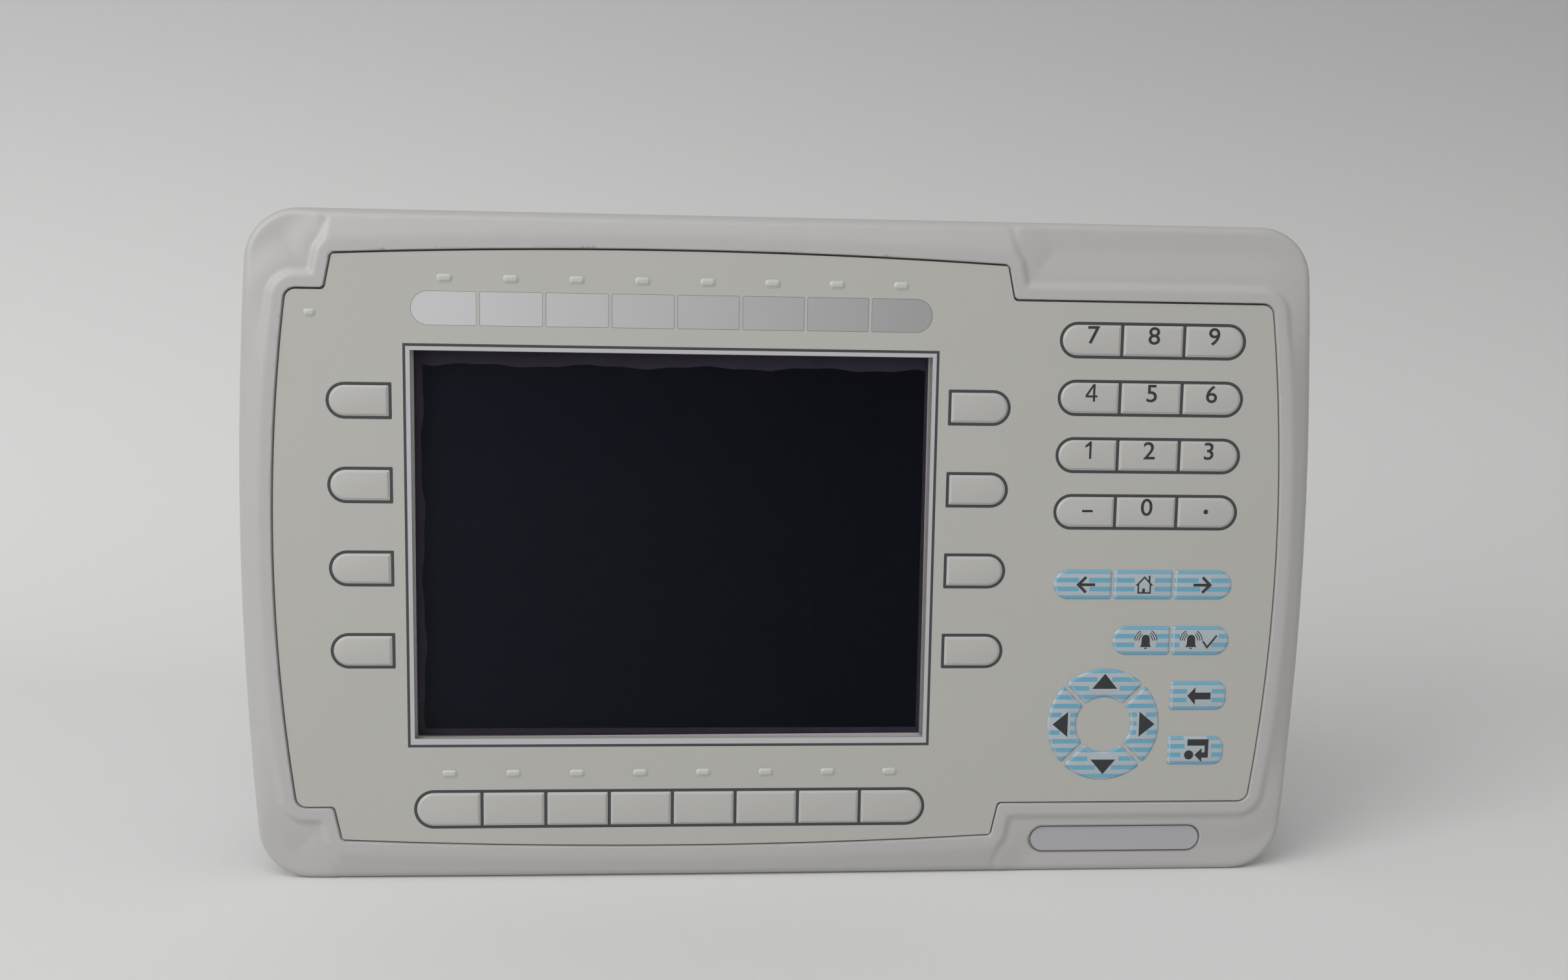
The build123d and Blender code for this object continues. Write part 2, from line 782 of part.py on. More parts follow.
def serial_port(x, flange_width, shell_width, spacing):
    """A serial port behind the wall of the box, with its shell and its two jackscrews outside."""
    centre = (x, board_back_y + serial_flange_height / 2)
    insert_z = box_bottom_z - serial_shell_reach + serial_insert_setback
    with BuildPart() as port:
        with BuildSketch(level(inner_bottom_z)):
            with Locations(centre):
                Rectangle(flange_width, serial_flange_height)
        extrude(amount=serial_flange_thickness)
        with BuildSketch(level(inner_bottom_z)):
            with Locations(centre):
                Rectangle(shell_width, serial_body_height)
        extrude(amount=serial_body_depth)
        with BuildSketch(level(box_bottom_z - serial_shell_reach)):
            with Locations(centre):
                add(serial_shell_face(shell_width, 0))
        extrude(amount=serial_shell_reach + box_wall)
        with BuildSketch(level(box_bottom_z - serial_shell_reach)):
            with Locations(centre):
                add(serial_shell_face(shell_width, -serial_shell_wall))
        extrude(amount=serial_insert_setback, mode=Mode.SUBTRACT)
        with BuildSketch(level(box_bottom_z)):
            with Locations(centre):
                with GridLocations(spacing, 0, 2, 1):
                    RegularPolygon(jackscrew_across_flats / 2, 6, major_radius=False)
        extrude(amount=-jackscrew_height)
    return port


serial_port_25 = serial_port(serial_25_x, serial_25_flange, serial_25_shell, serial_25_spacing)
write(serial_port_25, "serial_port_25")
serial_port_9 = serial_port(serial_9_x, serial_9_flange, serial_9_shell, serial_9_spacing)
write(serial_port_9, "serial_port_9")

ethernet_centre = seated(ethernet_x, ethernet_size)
with BuildPart() as ethernet_jack:
    with BuildSketch(level(box_bottom_z)):
        with Locations(ethernet_centre):
            Rectangle(ethernet_size[0], ethernet_size[1])
    extrude(amount=ethernet_size[2])
    # The mouth has a two-step channel for the plug's latch, on the side away from the board
    with BuildSketch(level(box_bottom_z)):
        with Locations(ethernet_centre):
            Rectangle(*ethernet_mouth)
        step_y = ethernet_centre[1] + ethernet_mouth[1] / 2
        for width, height in ethernet_latch:
            with Locations((ethernet_x, step_y)):
                Rectangle(width, height, align=(Align.CENTER, Align.MIN))
            step_y += height
    extrude(amount=ethernet_cavity_depth, mode=Mode.SUBTRACT)
write(ethernet_jack, "ethernet_jack")

usb_host_centre = seated(usb_host_x, usb_host_size)
usb_device_centre = seated(usb_device_x, usb_device_size)
with BuildPart() as usb_ports:
    for centre, size in ((usb_host_centre, usb_host_size), (usb_device_centre, usb_device_size)):
        with BuildSketch(level(box_bottom_z)):
            with Locations(centre):
                Rectangle(size[0], size[1])
        extrude(amount=size[2])
    with BuildSketch(level(box_bottom_z)) as host_mouth:
        with Locations(usb_host_centre):
            Rectangle(usb_host_size[0] - 2 * usb_wall, usb_host_size[1] - 2 * usb_wall)
    extrude(amount=usb_cavity_depth, mode=Mode.SUBTRACT)
    with BuildSketch(level(box_bottom_z)) as device_mouth:
        with Locations(usb_device_centre):
            Rectangle(*usb_device_mouth)
        chamfer(device_mouth.vertices().group_by(Axis.Y)[-1], usb_device_slope)
    extrude(amount=usb_cavity_depth, mode=Mode.SUBTRACT)
    with BuildSketch(level(box_bottom_z + usb_tongue_setback)):
        for centre, tongue in ((usb_host_centre, usb_host_tongue), (usb_device_centre, usb_device_tongue)):
            with Locations(centre):
                Rectangle(*tongue)
    extrude(amount=usb_cavity_depth - usb_tongue_setback)
write(usb_ports, "usb_ports")

card_centre = (board_back_y + card_shell[0] / 2, card_z)
inner_side_x = box_side_x - box_wall
with BuildPart() as card_socket:
    with BuildSketch(flank(inner_side_x)):
        with Locations(card_centre):
            Rectangle(card_shell[0], card_shell[1])
    extrude(amount=-card_shell[2])
    with BuildSketch(flank(inner_side_x)):
        with Locations(card_centre):
            Rectangle(*card_mouth)
    extrude(amount=-card_cavity_depth, mode=Mode.SUBTRACT)
write(card_socket, "card_socket")

eject_z = card_z + card_shell[1] / 2 + eject_clearance + eject_button_size[1] / 2
eject_centre = (card_centre[0], eject_z)
with BuildPart() as card_eject_button:
    with BuildSketch(flank(box_side_x + eject_button_stand)):
        with Locations(eject_centre):
            Rectangle(*eject_button_size)
    extrude(amount=-eject_button_length)
    fillet(card_eject_button.faces().sort_by(Axis.X)[-1].edges(), eject_button_rounding)
write(card_eject_button, "card_eject_button")

with BuildPart() as rear_cover:
    with BuildSketch(front(-box_depth)):
        add(box_face(0))
    extrude(amount=box_depth)
    chamfer(rear_cover.faces().sort_by(Axis.Y)[-1].edges(), box_back_chamfer)
    offset(amount=-box_wall, openings=rear_cover.faces().sort_by(Axis.Y)[0])
    with BuildSketch(front(-box_depth)):
        RectangleRounded(
            box_width - 2 * back_panel_margin[0], box_height - 2 * back_panel_margin[1], back_panel_corner
        )
    extrude(amount=back_panel_recess, mode=Mode.SUBTRACT)
    with BuildSketch(front(-box_depth)):
        with Locations(*pillar_centres):
            RegularPolygon(screw_shank_radius + screw_hole_clearance, screw_flats)
    extrude(amount=box_wall, mode=Mode.SUBTRACT)
    # Air slots and clamp slots in the top and the bottom
    for z, columns, middle_x in (
        (box_height / 2, top_air_slots, 0),
        (box_bottom_z, bottom_air_slots, bottom_air_x),
    ):
        with BuildSketch(level(z)):
            with Locations((middle_x, -air_slot_height)):
                with GridLocations(air_slot_pitch, 0, columns, 1):
                    Rectangle(air_slot_width, air_slot_length)
            with Locations((0, -clamp_slot_height)):
                with GridLocations(clamp_spacing, 0, 2, 1):
                    SlotOverall(*clamp_slot)
        extrude(amount=box_wall, both=True, mode=Mode.SUBTRACT)
    # Cut-outs for the connectors
    with BuildSketch(level(box_bottom_z)):
        for centre, size in (
            (power_centre, power_size),
            (ethernet_centre, ethernet_size),
            (usb_host_centre, usb_host_size),
            (usb_device_centre, usb_device_size),
        ):
            with Locations(centre):
                Rectangle(size[0] + 2 * port_clearance, size[1] + 2 * port_clearance)
        for x, shell_width in ((serial_25_x, serial_25_shell), (serial_9_x, serial_9_shell)):
            with Locations((x, board_back_y + serial_flange_height / 2)):
                add(serial_shell_face(shell_width, port_clearance))
    extrude(amount=box_wall, mode=Mode.SUBTRACT)
    # The card slot and the eject button's hole
    with BuildSketch(flank(inner_side_x)):
        with Locations(card_centre):
            Rectangle(*card_mouth)
        with Locations(eject_centre):
            Rectangle(eject_button_size[0] + 2 * eject_clearance, eject_button_size[1] + 2 * eject_clearance)
    extrude(amount=box_wall, mode=Mode.SUBTRACT)
write(rear_cover, "rear_cover")
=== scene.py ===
"""The looks of an operator panel: moulded frame, membrane keypad, display, and the sheet-metal rear box.

X runs to the right, Y into the cabinet and Z up. Sizes here are in millimetres and become metres where
a mesh is made. A height is a distance from the mounting face towards the operator, along -Y.
"""

import json
import math

import bmesh
import bpy
import numpy
from mathutils import Euler, Matrix, Vector
from mathutils.geometry import delaunay_2d_cdt

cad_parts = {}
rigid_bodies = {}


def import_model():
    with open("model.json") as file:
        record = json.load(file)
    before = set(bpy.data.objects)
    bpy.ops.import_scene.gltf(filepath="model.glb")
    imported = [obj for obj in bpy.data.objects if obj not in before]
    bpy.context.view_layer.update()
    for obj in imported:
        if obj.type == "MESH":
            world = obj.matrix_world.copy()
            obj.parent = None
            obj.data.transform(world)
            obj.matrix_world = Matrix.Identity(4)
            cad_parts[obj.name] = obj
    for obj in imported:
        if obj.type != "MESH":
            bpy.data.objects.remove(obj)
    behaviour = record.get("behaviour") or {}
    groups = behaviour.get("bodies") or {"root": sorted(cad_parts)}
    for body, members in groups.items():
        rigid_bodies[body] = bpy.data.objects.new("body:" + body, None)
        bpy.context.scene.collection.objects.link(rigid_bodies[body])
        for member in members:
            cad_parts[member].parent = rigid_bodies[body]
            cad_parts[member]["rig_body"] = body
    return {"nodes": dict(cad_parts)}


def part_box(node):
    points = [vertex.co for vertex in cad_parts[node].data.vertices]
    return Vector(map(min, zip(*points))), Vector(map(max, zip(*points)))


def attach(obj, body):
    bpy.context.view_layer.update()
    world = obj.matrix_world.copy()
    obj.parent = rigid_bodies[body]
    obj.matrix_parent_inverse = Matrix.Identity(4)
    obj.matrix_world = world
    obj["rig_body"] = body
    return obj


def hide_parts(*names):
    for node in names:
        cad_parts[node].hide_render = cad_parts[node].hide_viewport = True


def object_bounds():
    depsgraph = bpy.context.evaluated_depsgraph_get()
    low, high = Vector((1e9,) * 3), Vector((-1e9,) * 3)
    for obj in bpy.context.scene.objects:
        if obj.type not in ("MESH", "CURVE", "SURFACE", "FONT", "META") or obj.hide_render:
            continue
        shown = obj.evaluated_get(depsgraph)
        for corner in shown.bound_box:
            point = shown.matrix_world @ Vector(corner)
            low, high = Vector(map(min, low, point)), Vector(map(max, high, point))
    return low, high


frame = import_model()
cad_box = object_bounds()
nodes = frame["nodes"]

mm = 0.001

# Camera, as the photograph was taken
camera_place = (-27.6, -384.2, 61.8)
camera_turn = (83.34, -0.92, -3.92)
camera_lens = 33.27

# Keypad, in the layers' own measures
stroke = 0.78
key_clearance = 0.1
visual_clearance = 0.03
print_thickness = 0.02
emboss_slope = 0.7
key_corner = 0.3
line_corner = 0.3
striped_key_corner = 0.9
edit_key_corner = 3.0
nav_growth = 0.25
stripe_thickness = 1.25

# Outline of the keypad film
side_sagitta = 4.7
bow_sagitta = 2.2
corner_field_depth = 11.2
left_field_width = 11.5
right_field_width = 71.5
step_slant = 1.9
film_corner = 3.0
step_corner = 1.0


def extent(node):
    """A node's lowest and highest X, Z and height, in millimetres."""
    low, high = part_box(node)
    return (
        low.x / mm,
        high.x / mm,
        low.z / mm,
        high.z / mm,
        -high.y / mm,
        -low.y / mm,
    )


film_low, film_high = extent("overlay_film")[4:]
key_high = extent("home_key")[5]
emboss = key_high - film_high


# Colours and materials


def colour_of(red, green, blue):
    """A colour as a picture shows it, 0 to 255, in the linear values that a shader takes."""
    linear = []
    for value in (red, green, blue):
        share = value / 255
        linear.append(share / 12.92 if share <= 0.04045 else ((share + 0.055) / 1.055) ** 2.4)
    return (*linear, 1.0)


def shaded(colour, factor):
    return (*[min(1.0, channel * factor) for channel in colour[:3]], 1.0)


def add_noise(tree, size, detail=3.0, distortion=0.0, stretch=(1.0, 1.0, 1.0)):
    """Noise over the piece's own coordinates, with features of about this size in millimetres."""
    place = tree.nodes.new("ShaderNodeTexCoord")
    scale = tree.nodes.new("ShaderNodeMapping")
    scale.inputs["Scale"].default_value = stretch
    noise = tree.nodes.new("ShaderNodeTexNoise")
    noise.inputs["Scale"].default_value = 1 / (size * mm)
    noise.inputs["Detail"].default_value = detail
    noise.inputs["Distortion"].default_value = distortion
    tree.links.new(place.outputs["Object"], scale.inputs["Vector"])
    tree.links.new(scale.outputs["Vector"], noise.inputs["Vector"])
    return noise.outputs["Fac"]


def spread(tree, factor, low, high):
    """A factor from 0 to 1 spread between two values."""
    node = tree.nodes.new("ShaderNodeMapRange")
    node.inputs["From Min"].default_value = 0.3
    node.inputs["From Max"].default_value = 0.7
    node.inputs["To Min"].default_value = low
    node.inputs["To Max"].default_value = high
    tree.links.new(factor, node.inputs["Value"])
    return node.outputs["Result"]


def blended(tree, factor, first, second):
    """A colour between two colours. Either may be a colour or another node's output."""
    node = tree.nodes.new("ShaderNodeMix")
    node.data_type = "RGBA"
    tree.links.new(factor, node.inputs["Factor"])
    for name, colour in (("A", first), ("B", second)):
        socket = next(s for s in node.inputs if s.name == name and s.type == "RGBA")
        if isinstance(colour, tuple):
            socket.default_value = colour
        else:
            tree.links.new(colour, socket)
    return next(s for s in node.outputs if s.type == "RGBA")


def finish(
    name,
    colour,
    roughness,
    mottle=0.03,
    mottle_size=25.0,
    grain=0.0,
    grain_size=0.4,
    metallic=0.0,
    specular=0.5,
    coat=0.0,
    stretch=(1.0, 1.0, 1.0),
    scuffs=0.0,
    gloss_drift=0.05,
):
    """A surface finish: its colour drifts a little, its gloss too, and a fine grain stands in it."""
    material = bpy.data.materials.new(name)
    material.use_nodes = True
    tree = material.node_tree
    shader = tree.nodes["Principled BSDF"]
    drift = add_noise(tree, mottle_size)
    surface = blended(tree, drift, shaded(colour, 1 - mottle), shaded(colour, 1 + mottle))
    if scuffs:
        wear = spread(tree, add_noise(tree, 3.5, detail=8.0, distortion=1.5), 0.0, scuffs)
        surface = blended(tree, wear, surface, shaded(colour, 1.25))
    tree.links.new(surface, shader.inputs["Base Color"])
    gloss_noise = add_noise(tree, mottle_size / 4, stretch=stretch)
    gloss = spread(tree, gloss_noise, roughness - gloss_drift, roughness + gloss_drift)
    tree.links.new(gloss, shader.inputs["Roughness"])
    shader.inputs["Metallic"].default_value = metallic
    shader.inputs["Specular IOR Level"].default_value = specular
    shader.inputs["Coat Weight"].default_value = coat
    if grain:
        bump = tree.nodes.new("ShaderNodeBump")
        bump.inputs["Strength"].default_value = grain
        bump.inputs["Distance"].default_value = 0.05 * mm
        tree.links.new(add_noise(tree, grain_size, detail=2.0, stretch=stretch), bump.inputs["Height"])
        tree.links.new(bump.outputs["Normal"], shader.inputs["Normal"])
    return material


def clear(name, colour, roughness, specular, cover):
    """A clear plastic, which covers what lies behind it by a small share."""
    material = finish(name, colour, roughness, specular=specular, gloss_drift=0.01)
    material.node_tree.nodes["Principled BSDF"].inputs["Alpha"].default_value = cover
    return material


def faded(material, first, last, axis, start, end):
    """Gives a finish a colour that changes evenly along an axis, between two places in millimetres."""
    tree = material.node_tree
    place_node = tree.nodes.new("ShaderNodeTexCoord")
    axes = tree.nodes.new("ShaderNodeSeparateXYZ")
    share = tree.nodes.new("ShaderNodeMapRange")
    share.inputs["From Min"].default_value = start * mm
    share.inputs["From Max"].default_value = end * mm
    tree.links.new(place_node.outputs["Object"], axes.inputs["Vector"])
    tree.links.new(axes.outputs[axis], share.inputs["Value"])
    surface = blended(tree, share.outputs["Result"], first, last)
    tree.links.new(surface, tree.nodes["Principled BSDF"].inputs["Base Color"])
    return material


looks = {
    "bezel": finish("bezel_paint", colour_of(173, 171, 170), 0.4, 0.015, 40, 0.35, 0.35, scuffs=0.03),
    "overlay": finish("film_polyester", colour_of(173, 172, 167), 0.5, 0.02, 50, 0.25, 0.22, scuffs=0.02),
    "key": finish("key_polyester", colour_of(176, 175, 171), 0.42, 0.02, 30, 0.2, 0.22),
    "striped_key": finish("striped_polyester", colour_of(166, 176, 182), 0.42, 0.02, 30, 0.2, 0.22),
    "lamp": finish("lamp_polyester", colour_of(182, 182, 179), 0.3, 0.02, 30, 0.2, 0.22),
    "stripe": finish("stripe_ink", colour_of(102, 159, 183), 0.42, 0.03, 12, 0.2, 0.22),
    # Painted shade, with a little dirt: a near-black finish for the recess walls round the film, where the gap lies in
    # shadow.
    "seam": finish("seam_shadow", colour_of(14, 13, 13), 0.9, 0.1, 12),
    "ink": finish("line_ink", colour_of(56, 58, 62), 0.45, 0.05, 9, 0.2, 0.22),
    "icon": finish("icon_ink", colour_of(40, 41, 45), 0.45, 0.05, 9, 0.2, 0.22),
    "white": finish("white_ink", colour_of(177, 177, 179), 0.45, 0.02, 20, 0.2, 0.22),
    # Painted light: the legend windows are lighter at the left and darker towards the right, as the light and its
    # reflection fall off across the panel.
    "legend": faded(
        finish("legend_strip_painted_light", colour_of(182, 182, 183), 0.3, gloss_drift=0.02),
        colour_of(191, 191, 193),
        colour_of(150, 150, 150),
        "X",
        -90,
        40,
    ),
    "window": clear("display_pane", colour_of(12, 12, 14), 0.05, 0.15, 0.04),
    # Painted reflection: the screen is made lighter at the left and darker at the right, as light from the left falls
    # on it.
    "screen": faded(
        finish("dark_screen_painted_sheen", colour_of(9, 12, 21), 0.2, specular=0.1),
        colour_of(17, 19, 29),
        colour_of(2, 4, 14),
        "X",
        -90,
        20,
    ),
    "screen_border": finish("screen_border", colour_of(54, 49, 62), 0.4, 0.2, 12, specular=0.1),
    "plate": finish("name_plate_film", colour_of(164, 163, 166), 0.35, 0.02, 20, 0.15, 0.3),
    # Painted shade: the spacer under the film is made dark so that the gaps round the keys read as shaded.
    "spacer": finish("spacer_film_painted_shade", colour_of(58, 58, 60), 0.6, 0.04, 20, 0.2, 0.3),
    "dome": finish("dome_metal", colour_of(190, 190, 188), 0.25, 0.04, 6, metallic=1.0),
    "circuit": finish("circuit_film", colour_of(160, 128, 74), 0.35, 0.08, 14, 0.2, 0.5),
    "display_module": finish("module_steel", colour_of(150, 150, 148), 0.35, 0.05, 18, 0.2, 0.6, metallic=1.0),
    "seal": finish("seal_rubber", colour_of(34, 34, 35), 0.75, 0.1, 8, 0.6, 0.5),
    "board": finish("board_laminate", colour_of(32, 78, 48), 0.35, 0.12, 5, 0.3, 0.6),
    "standoff": finish("pillar_brass", colour_of(184, 160, 104), 0.3, 0.05, 6, metallic=1.0),
    "rear_cover": finish(
        "box_zinc", colour_of(172, 174, 175), 0.38, 0.07, 9, 0.25, 0.7, metallic=0.9, stretch=(1.0, 1.0, 0.15)
    ),
    "screw": finish("screw_zinc", colour_of(176, 178, 178), 0.28, 0.06, 2, 0.2, 0.4, metallic=1.0),
    "power_connector": finish("connector_green", colour_of(46, 108, 66), 0.45, 0.05, 6, 0.3, 0.3),
    "port_metal": finish("port_nickel", colour_of(168, 168, 165), 0.25, 0.05, 5, 0.15, 0.4, metallic=1.0),
    "port_insert": finish("port_plastic", colour_of(28, 28, 30), 0.45, 0.08, 4, 0.3, 0.3),
    "contact": finish("contact_gold", colour_of(196, 164, 92), 0.25, 0.04, 3, metallic=1.0),
    "card_metal": finish("card_steel", colour_of(160, 160, 158), 0.3, 0.05, 8, 0.15, 0.5, metallic=1.0),
    "eject_button": finish("button_black", colour_of(36, 36, 38), 0.5, 0.06, 4, 0.4, 0.3),
}


def dress(piece, *names):
    """Gives a piece its finishes, in the order of its faces' material numbers."""
    piece.data.materials.clear()
    for name in names:
        piece.data.materials.append(looks[name])


# Making pieces


def place(x, z, height):
    """A point on the front, in metres."""
    return Vector((x * mm, -height * mm, z * mm))


def piece_of(name, mesh, body, slot, *finishes, replaces=(), smooth=40):
    """A new piece in the scene, on its body."""
    piece = bpy.data.objects.new(name, mesh)
    bpy.context.scene.collection.objects.link(piece)
    mesh.shade_smooth()
    mesh.set_sharp_from_angle(angle=math.radians(smooth))
    dress(piece, *finishes)
    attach(piece, body)
    if replaces:
        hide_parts(*replaces)
    return piece


def mesh_of(name, points, faces, materials=None):
    mesh = bpy.data.meshes.new(name)
    mesh.from_pydata(points, [], faces)
    if materials:
        mesh.polygons.foreach_set("material_index", materials)
    mesh.update()
    return mesh


def arc(centre, radius, start, end, steps):
    """Points on an arc, its angles in degrees."""
    points = []
    for step in range(steps + 1):
        angle = math.radians(start + (end - start) * step / steps)
        points.append((centre[0] + radius * math.cos(angle), centre[1] + radius * math.sin(angle)))
    return points


def rounded(corners, steps=6):
    """A closed outline from corners (x, z, radius), counter-clockwise, each corner rounded."""
    outline = []
    count = len(corners)
    for number, (x, z, radius) in enumerate(corners):
        here = Vector((x, z))
        before = Vector(corners[number - 1][:2])
        after = Vector(corners[(number + 1) % count][:2])
        if radius <= 0:
            outline.append((x, z))
            continue
        into = (before - here).normalized()
        out = (after - here).normalized()
        half = into.angle(out) / 2
        reach = radius / math.tan(half)
        centre = here + (into + out).normalized() * (radius / math.sin(half))
        start = here + into * reach - centre
        turn = math.pi - 2 * half
        if into.x * out.y - into.y * out.x > 0:
            turn = -turn
        for step in range(steps + 1):
            angle = turn * step / steps
            spun = Vector(
                (
                    start.x * math.cos(angle) - start.y * math.sin(angle),
                    start.x * math.sin(angle) + start.y * math.cos(angle),
                )
            )
            outline.append(tuple(centre + spun))
    return outline


def bar(x_low, x_high, z_low, z_high, left, right, inset=0.0, steps=8):
    """A bar with the corner radii of its two ends, pulled in by inset."""
    least = 0.05
    left = max(left - inset, least)
    right = max(right - inset, least)
    return rounded(
        (
            (x_low + inset, z_low + inset, left),
            (x_high - inset, z_low + inset, right),
            (x_high - inset, z_high - inset, right),
            (x_low + inset, z_high - inset, left),
        ),
        steps,
    )


def relief(rings):
    """Points and faces of a closed solid through outlines (outline, height), from its back to its top."""
    points = []
    faces = []
    count = len(rings[0][0])
    for outline, height in rings:
        points += [place(x, z, height) for x, z in outline]
    for level in range(len(rings) - 1):
        low = level * count
        high = low + count
        for number in range(count):
            following = (number + 1) % count
            faces.append((low + number, low + following, high + following, high + number))
    faces.append(tuple(reversed(range(count))))
    faces.append(tuple(range(len(points) - count, len(points))))
    return points, faces


def soft_rise(share):
    """The rise of an embossed edge, from 0 to 1, level at both ends."""
    share = min(1.0, max(0.0, share))
    return share * share * (3 - 2 * share)


def embossed(outline_at, low, base, rise, slope, steps=6):
    """Rings of an embossed area that rises from base over a slope inside its outline."""
    rings = [(outline_at(0.0), low)]
    for step in range(steps + 1):
        share = step / steps
        rings.append((outline_at(slope * share), base + rise * soft_rise(share)))
    return rings


def plate_mesh(name, outlines, low, high):
    """A flat plate from low to high with any number of outlines, where an inner outline is a hole."""
    curve = bpy.data.curves.new(name, "CURVE")
    curve.dimensions = "2D"
    curve.fill_mode = "BOTH"
    curve.extrude = (high - low) / 2 * mm
    for outline in outlines:
        spline = curve.splines.new("POLY")
        spline.points.add(len(outline) - 1)
        for point, (x, z) in zip(spline.points, outline):
            point.co = (x * mm, z * mm, 0, 1)
        spline.use_cyclic_u = True
    holder = bpy.data.objects.new(name, curve)
    bpy.context.scene.collection.objects.link(holder)
    bpy.context.view_layer.update()
    mesh = bpy.data.meshes.new_from_object(holder.evaluated_get(bpy.context.evaluated_depsgraph_get()))
    bpy.data.objects.remove(holder)
    bpy.data.curves.remove(curve)
    mesh.transform(Matrix.Translation(place(0, 0, (low + high) / 2)) @ Matrix.Rotation(math.pi / 2, 4, "X"))
    mesh.name = name
    clean = bmesh.new()
    clean.from_mesh(mesh)
    bmesh.ops.remove_doubles(clean, verts=clean.verts, dist=0.0005 * mm)
    bmesh.ops.recalc_face_normals(clean, faces=clean.faces)
    clean.to_mesh(mesh)
    clean.free()
    return mesh


def printed(name, outlines, finish_name, body="housing", slot="overlay", base=None):
    """Ink on the film or, with its base height, on a key."""
    low = (film_high if base is None else base) - print_thickness / 2
    mesh = plate_mesh(name, outlines, low, low + 1.5 * print_thickness)
    return piece_of(name, mesh, body, slot, finish_name)


def beside_loop(outline, distance):
    """The points of a closed outline moved sideways, outwards where the distance is positive."""
    steps = outline - numpy.roll(outline, 1, axis=0)
    outline = outline[numpy.hypot(steps[:, 0], steps[:, 1]) > 0.001]
    before = outline - numpy.roll(outline, 1, axis=0)
    after = numpy.roll(outline, -1, axis=0) - outline
    before /= numpy.hypot(before[:, 0], before[:, 1])[:, None]
    after /= numpy.hypot(after[:, 0], after[:, 1])[:, None]
    normal = numpy.column_stack((before[:, 1] + after[:, 1], -before[:, 0] - after[:, 0]))
    normal /= numpy.hypot(normal[:, 0], normal[:, 1])[:, None]
    x, z = outline[:, 0], outline[:, 1]
    turning = numpy.sum(x * numpy.roll(z, -1) - z * numpy.roll(x, -1))
    return outline + normal * distance * numpy.sign(turning)


# The keys: kind, the outline of the opening, and which ends are half round

soft_keys = [f"soft_key_{side}_{row}" for side in ("left", "right") for row in (1, 2, 3, 4)]
function_keys = [f"function_key_{number}" for number in range(1, 9)]
digit_rows = (
    ("digit_key_7", "digit_key_8", "digit_key_9"),
    ("digit_key_4", "digit_key_5", "digit_key_6"),
    ("digit_key_1", "digit_key_2", "digit_key_3"),
    ("minus_key", "digit_key_0", "point_key"),
)
round_left_keys = {name for name in soft_keys if "left" in name} | {"function_key_1"}
round_left_keys |= {row[0] for row in digit_rows} | {"previous_key", "alarm_list_key"}
round_right_keys = {name for name in soft_keys if "right" in name} | {"function_key_8"}
round_right_keys |= {row[2] for row in digit_rows} | {"next_key", "alarm_reset_key"}
striped_keys = ("previous_key", "home_key", "next_key", "alarm_list_key", "alarm_reset_key")
striped_keys += ("backspace_key", "enter_key")
pad_keys = {"up_key": 0, "left_key": 90, "down_key": 180, "right_key": 270}
bar_keys = soft_keys + function_keys + [name for row in digit_rows for name in row] + list(striped_keys)

openings = {}
for name in bar_keys:
    x_low, x_high, z_low, z_high = extent(name)[:4]
    x_low -= key_clearance
    x_high += key_clearance
    z_low -= key_clearance
    z_high += key_clearance
    half = (z_high - z_low) / 2
    corner = striped_key_corner if name in striped_keys else key_corner
    left = half if name in round_left_keys else corner
    right = half if name in round_right_keys else corner
    if name in ("backspace_key", "enter_key"):
        right = edit_key_corner
    elif name in striped_keys:
        x_low -= nav_growth if left == corner else 0
        x_high += nav_growth if right == corner else 0
    openings[name] = (x_low, x_high, z_low, z_high, left, right)

pad_low_x, pad_high_x = extent("left_key")[0], extent("right_key")[1]
pad_low_z, pad_high_z = extent("down_key")[2], extent("up_key")[3]
pad_centre = ((pad_low_x + pad_high_x) / 2, (pad_low_z + pad_high_z) / 2)
pad_outer = (pad_high_x - pad_low_x) / 2 + key_clearance
pad_inner = pad_outer - 8.1
pad_gap = 0.75


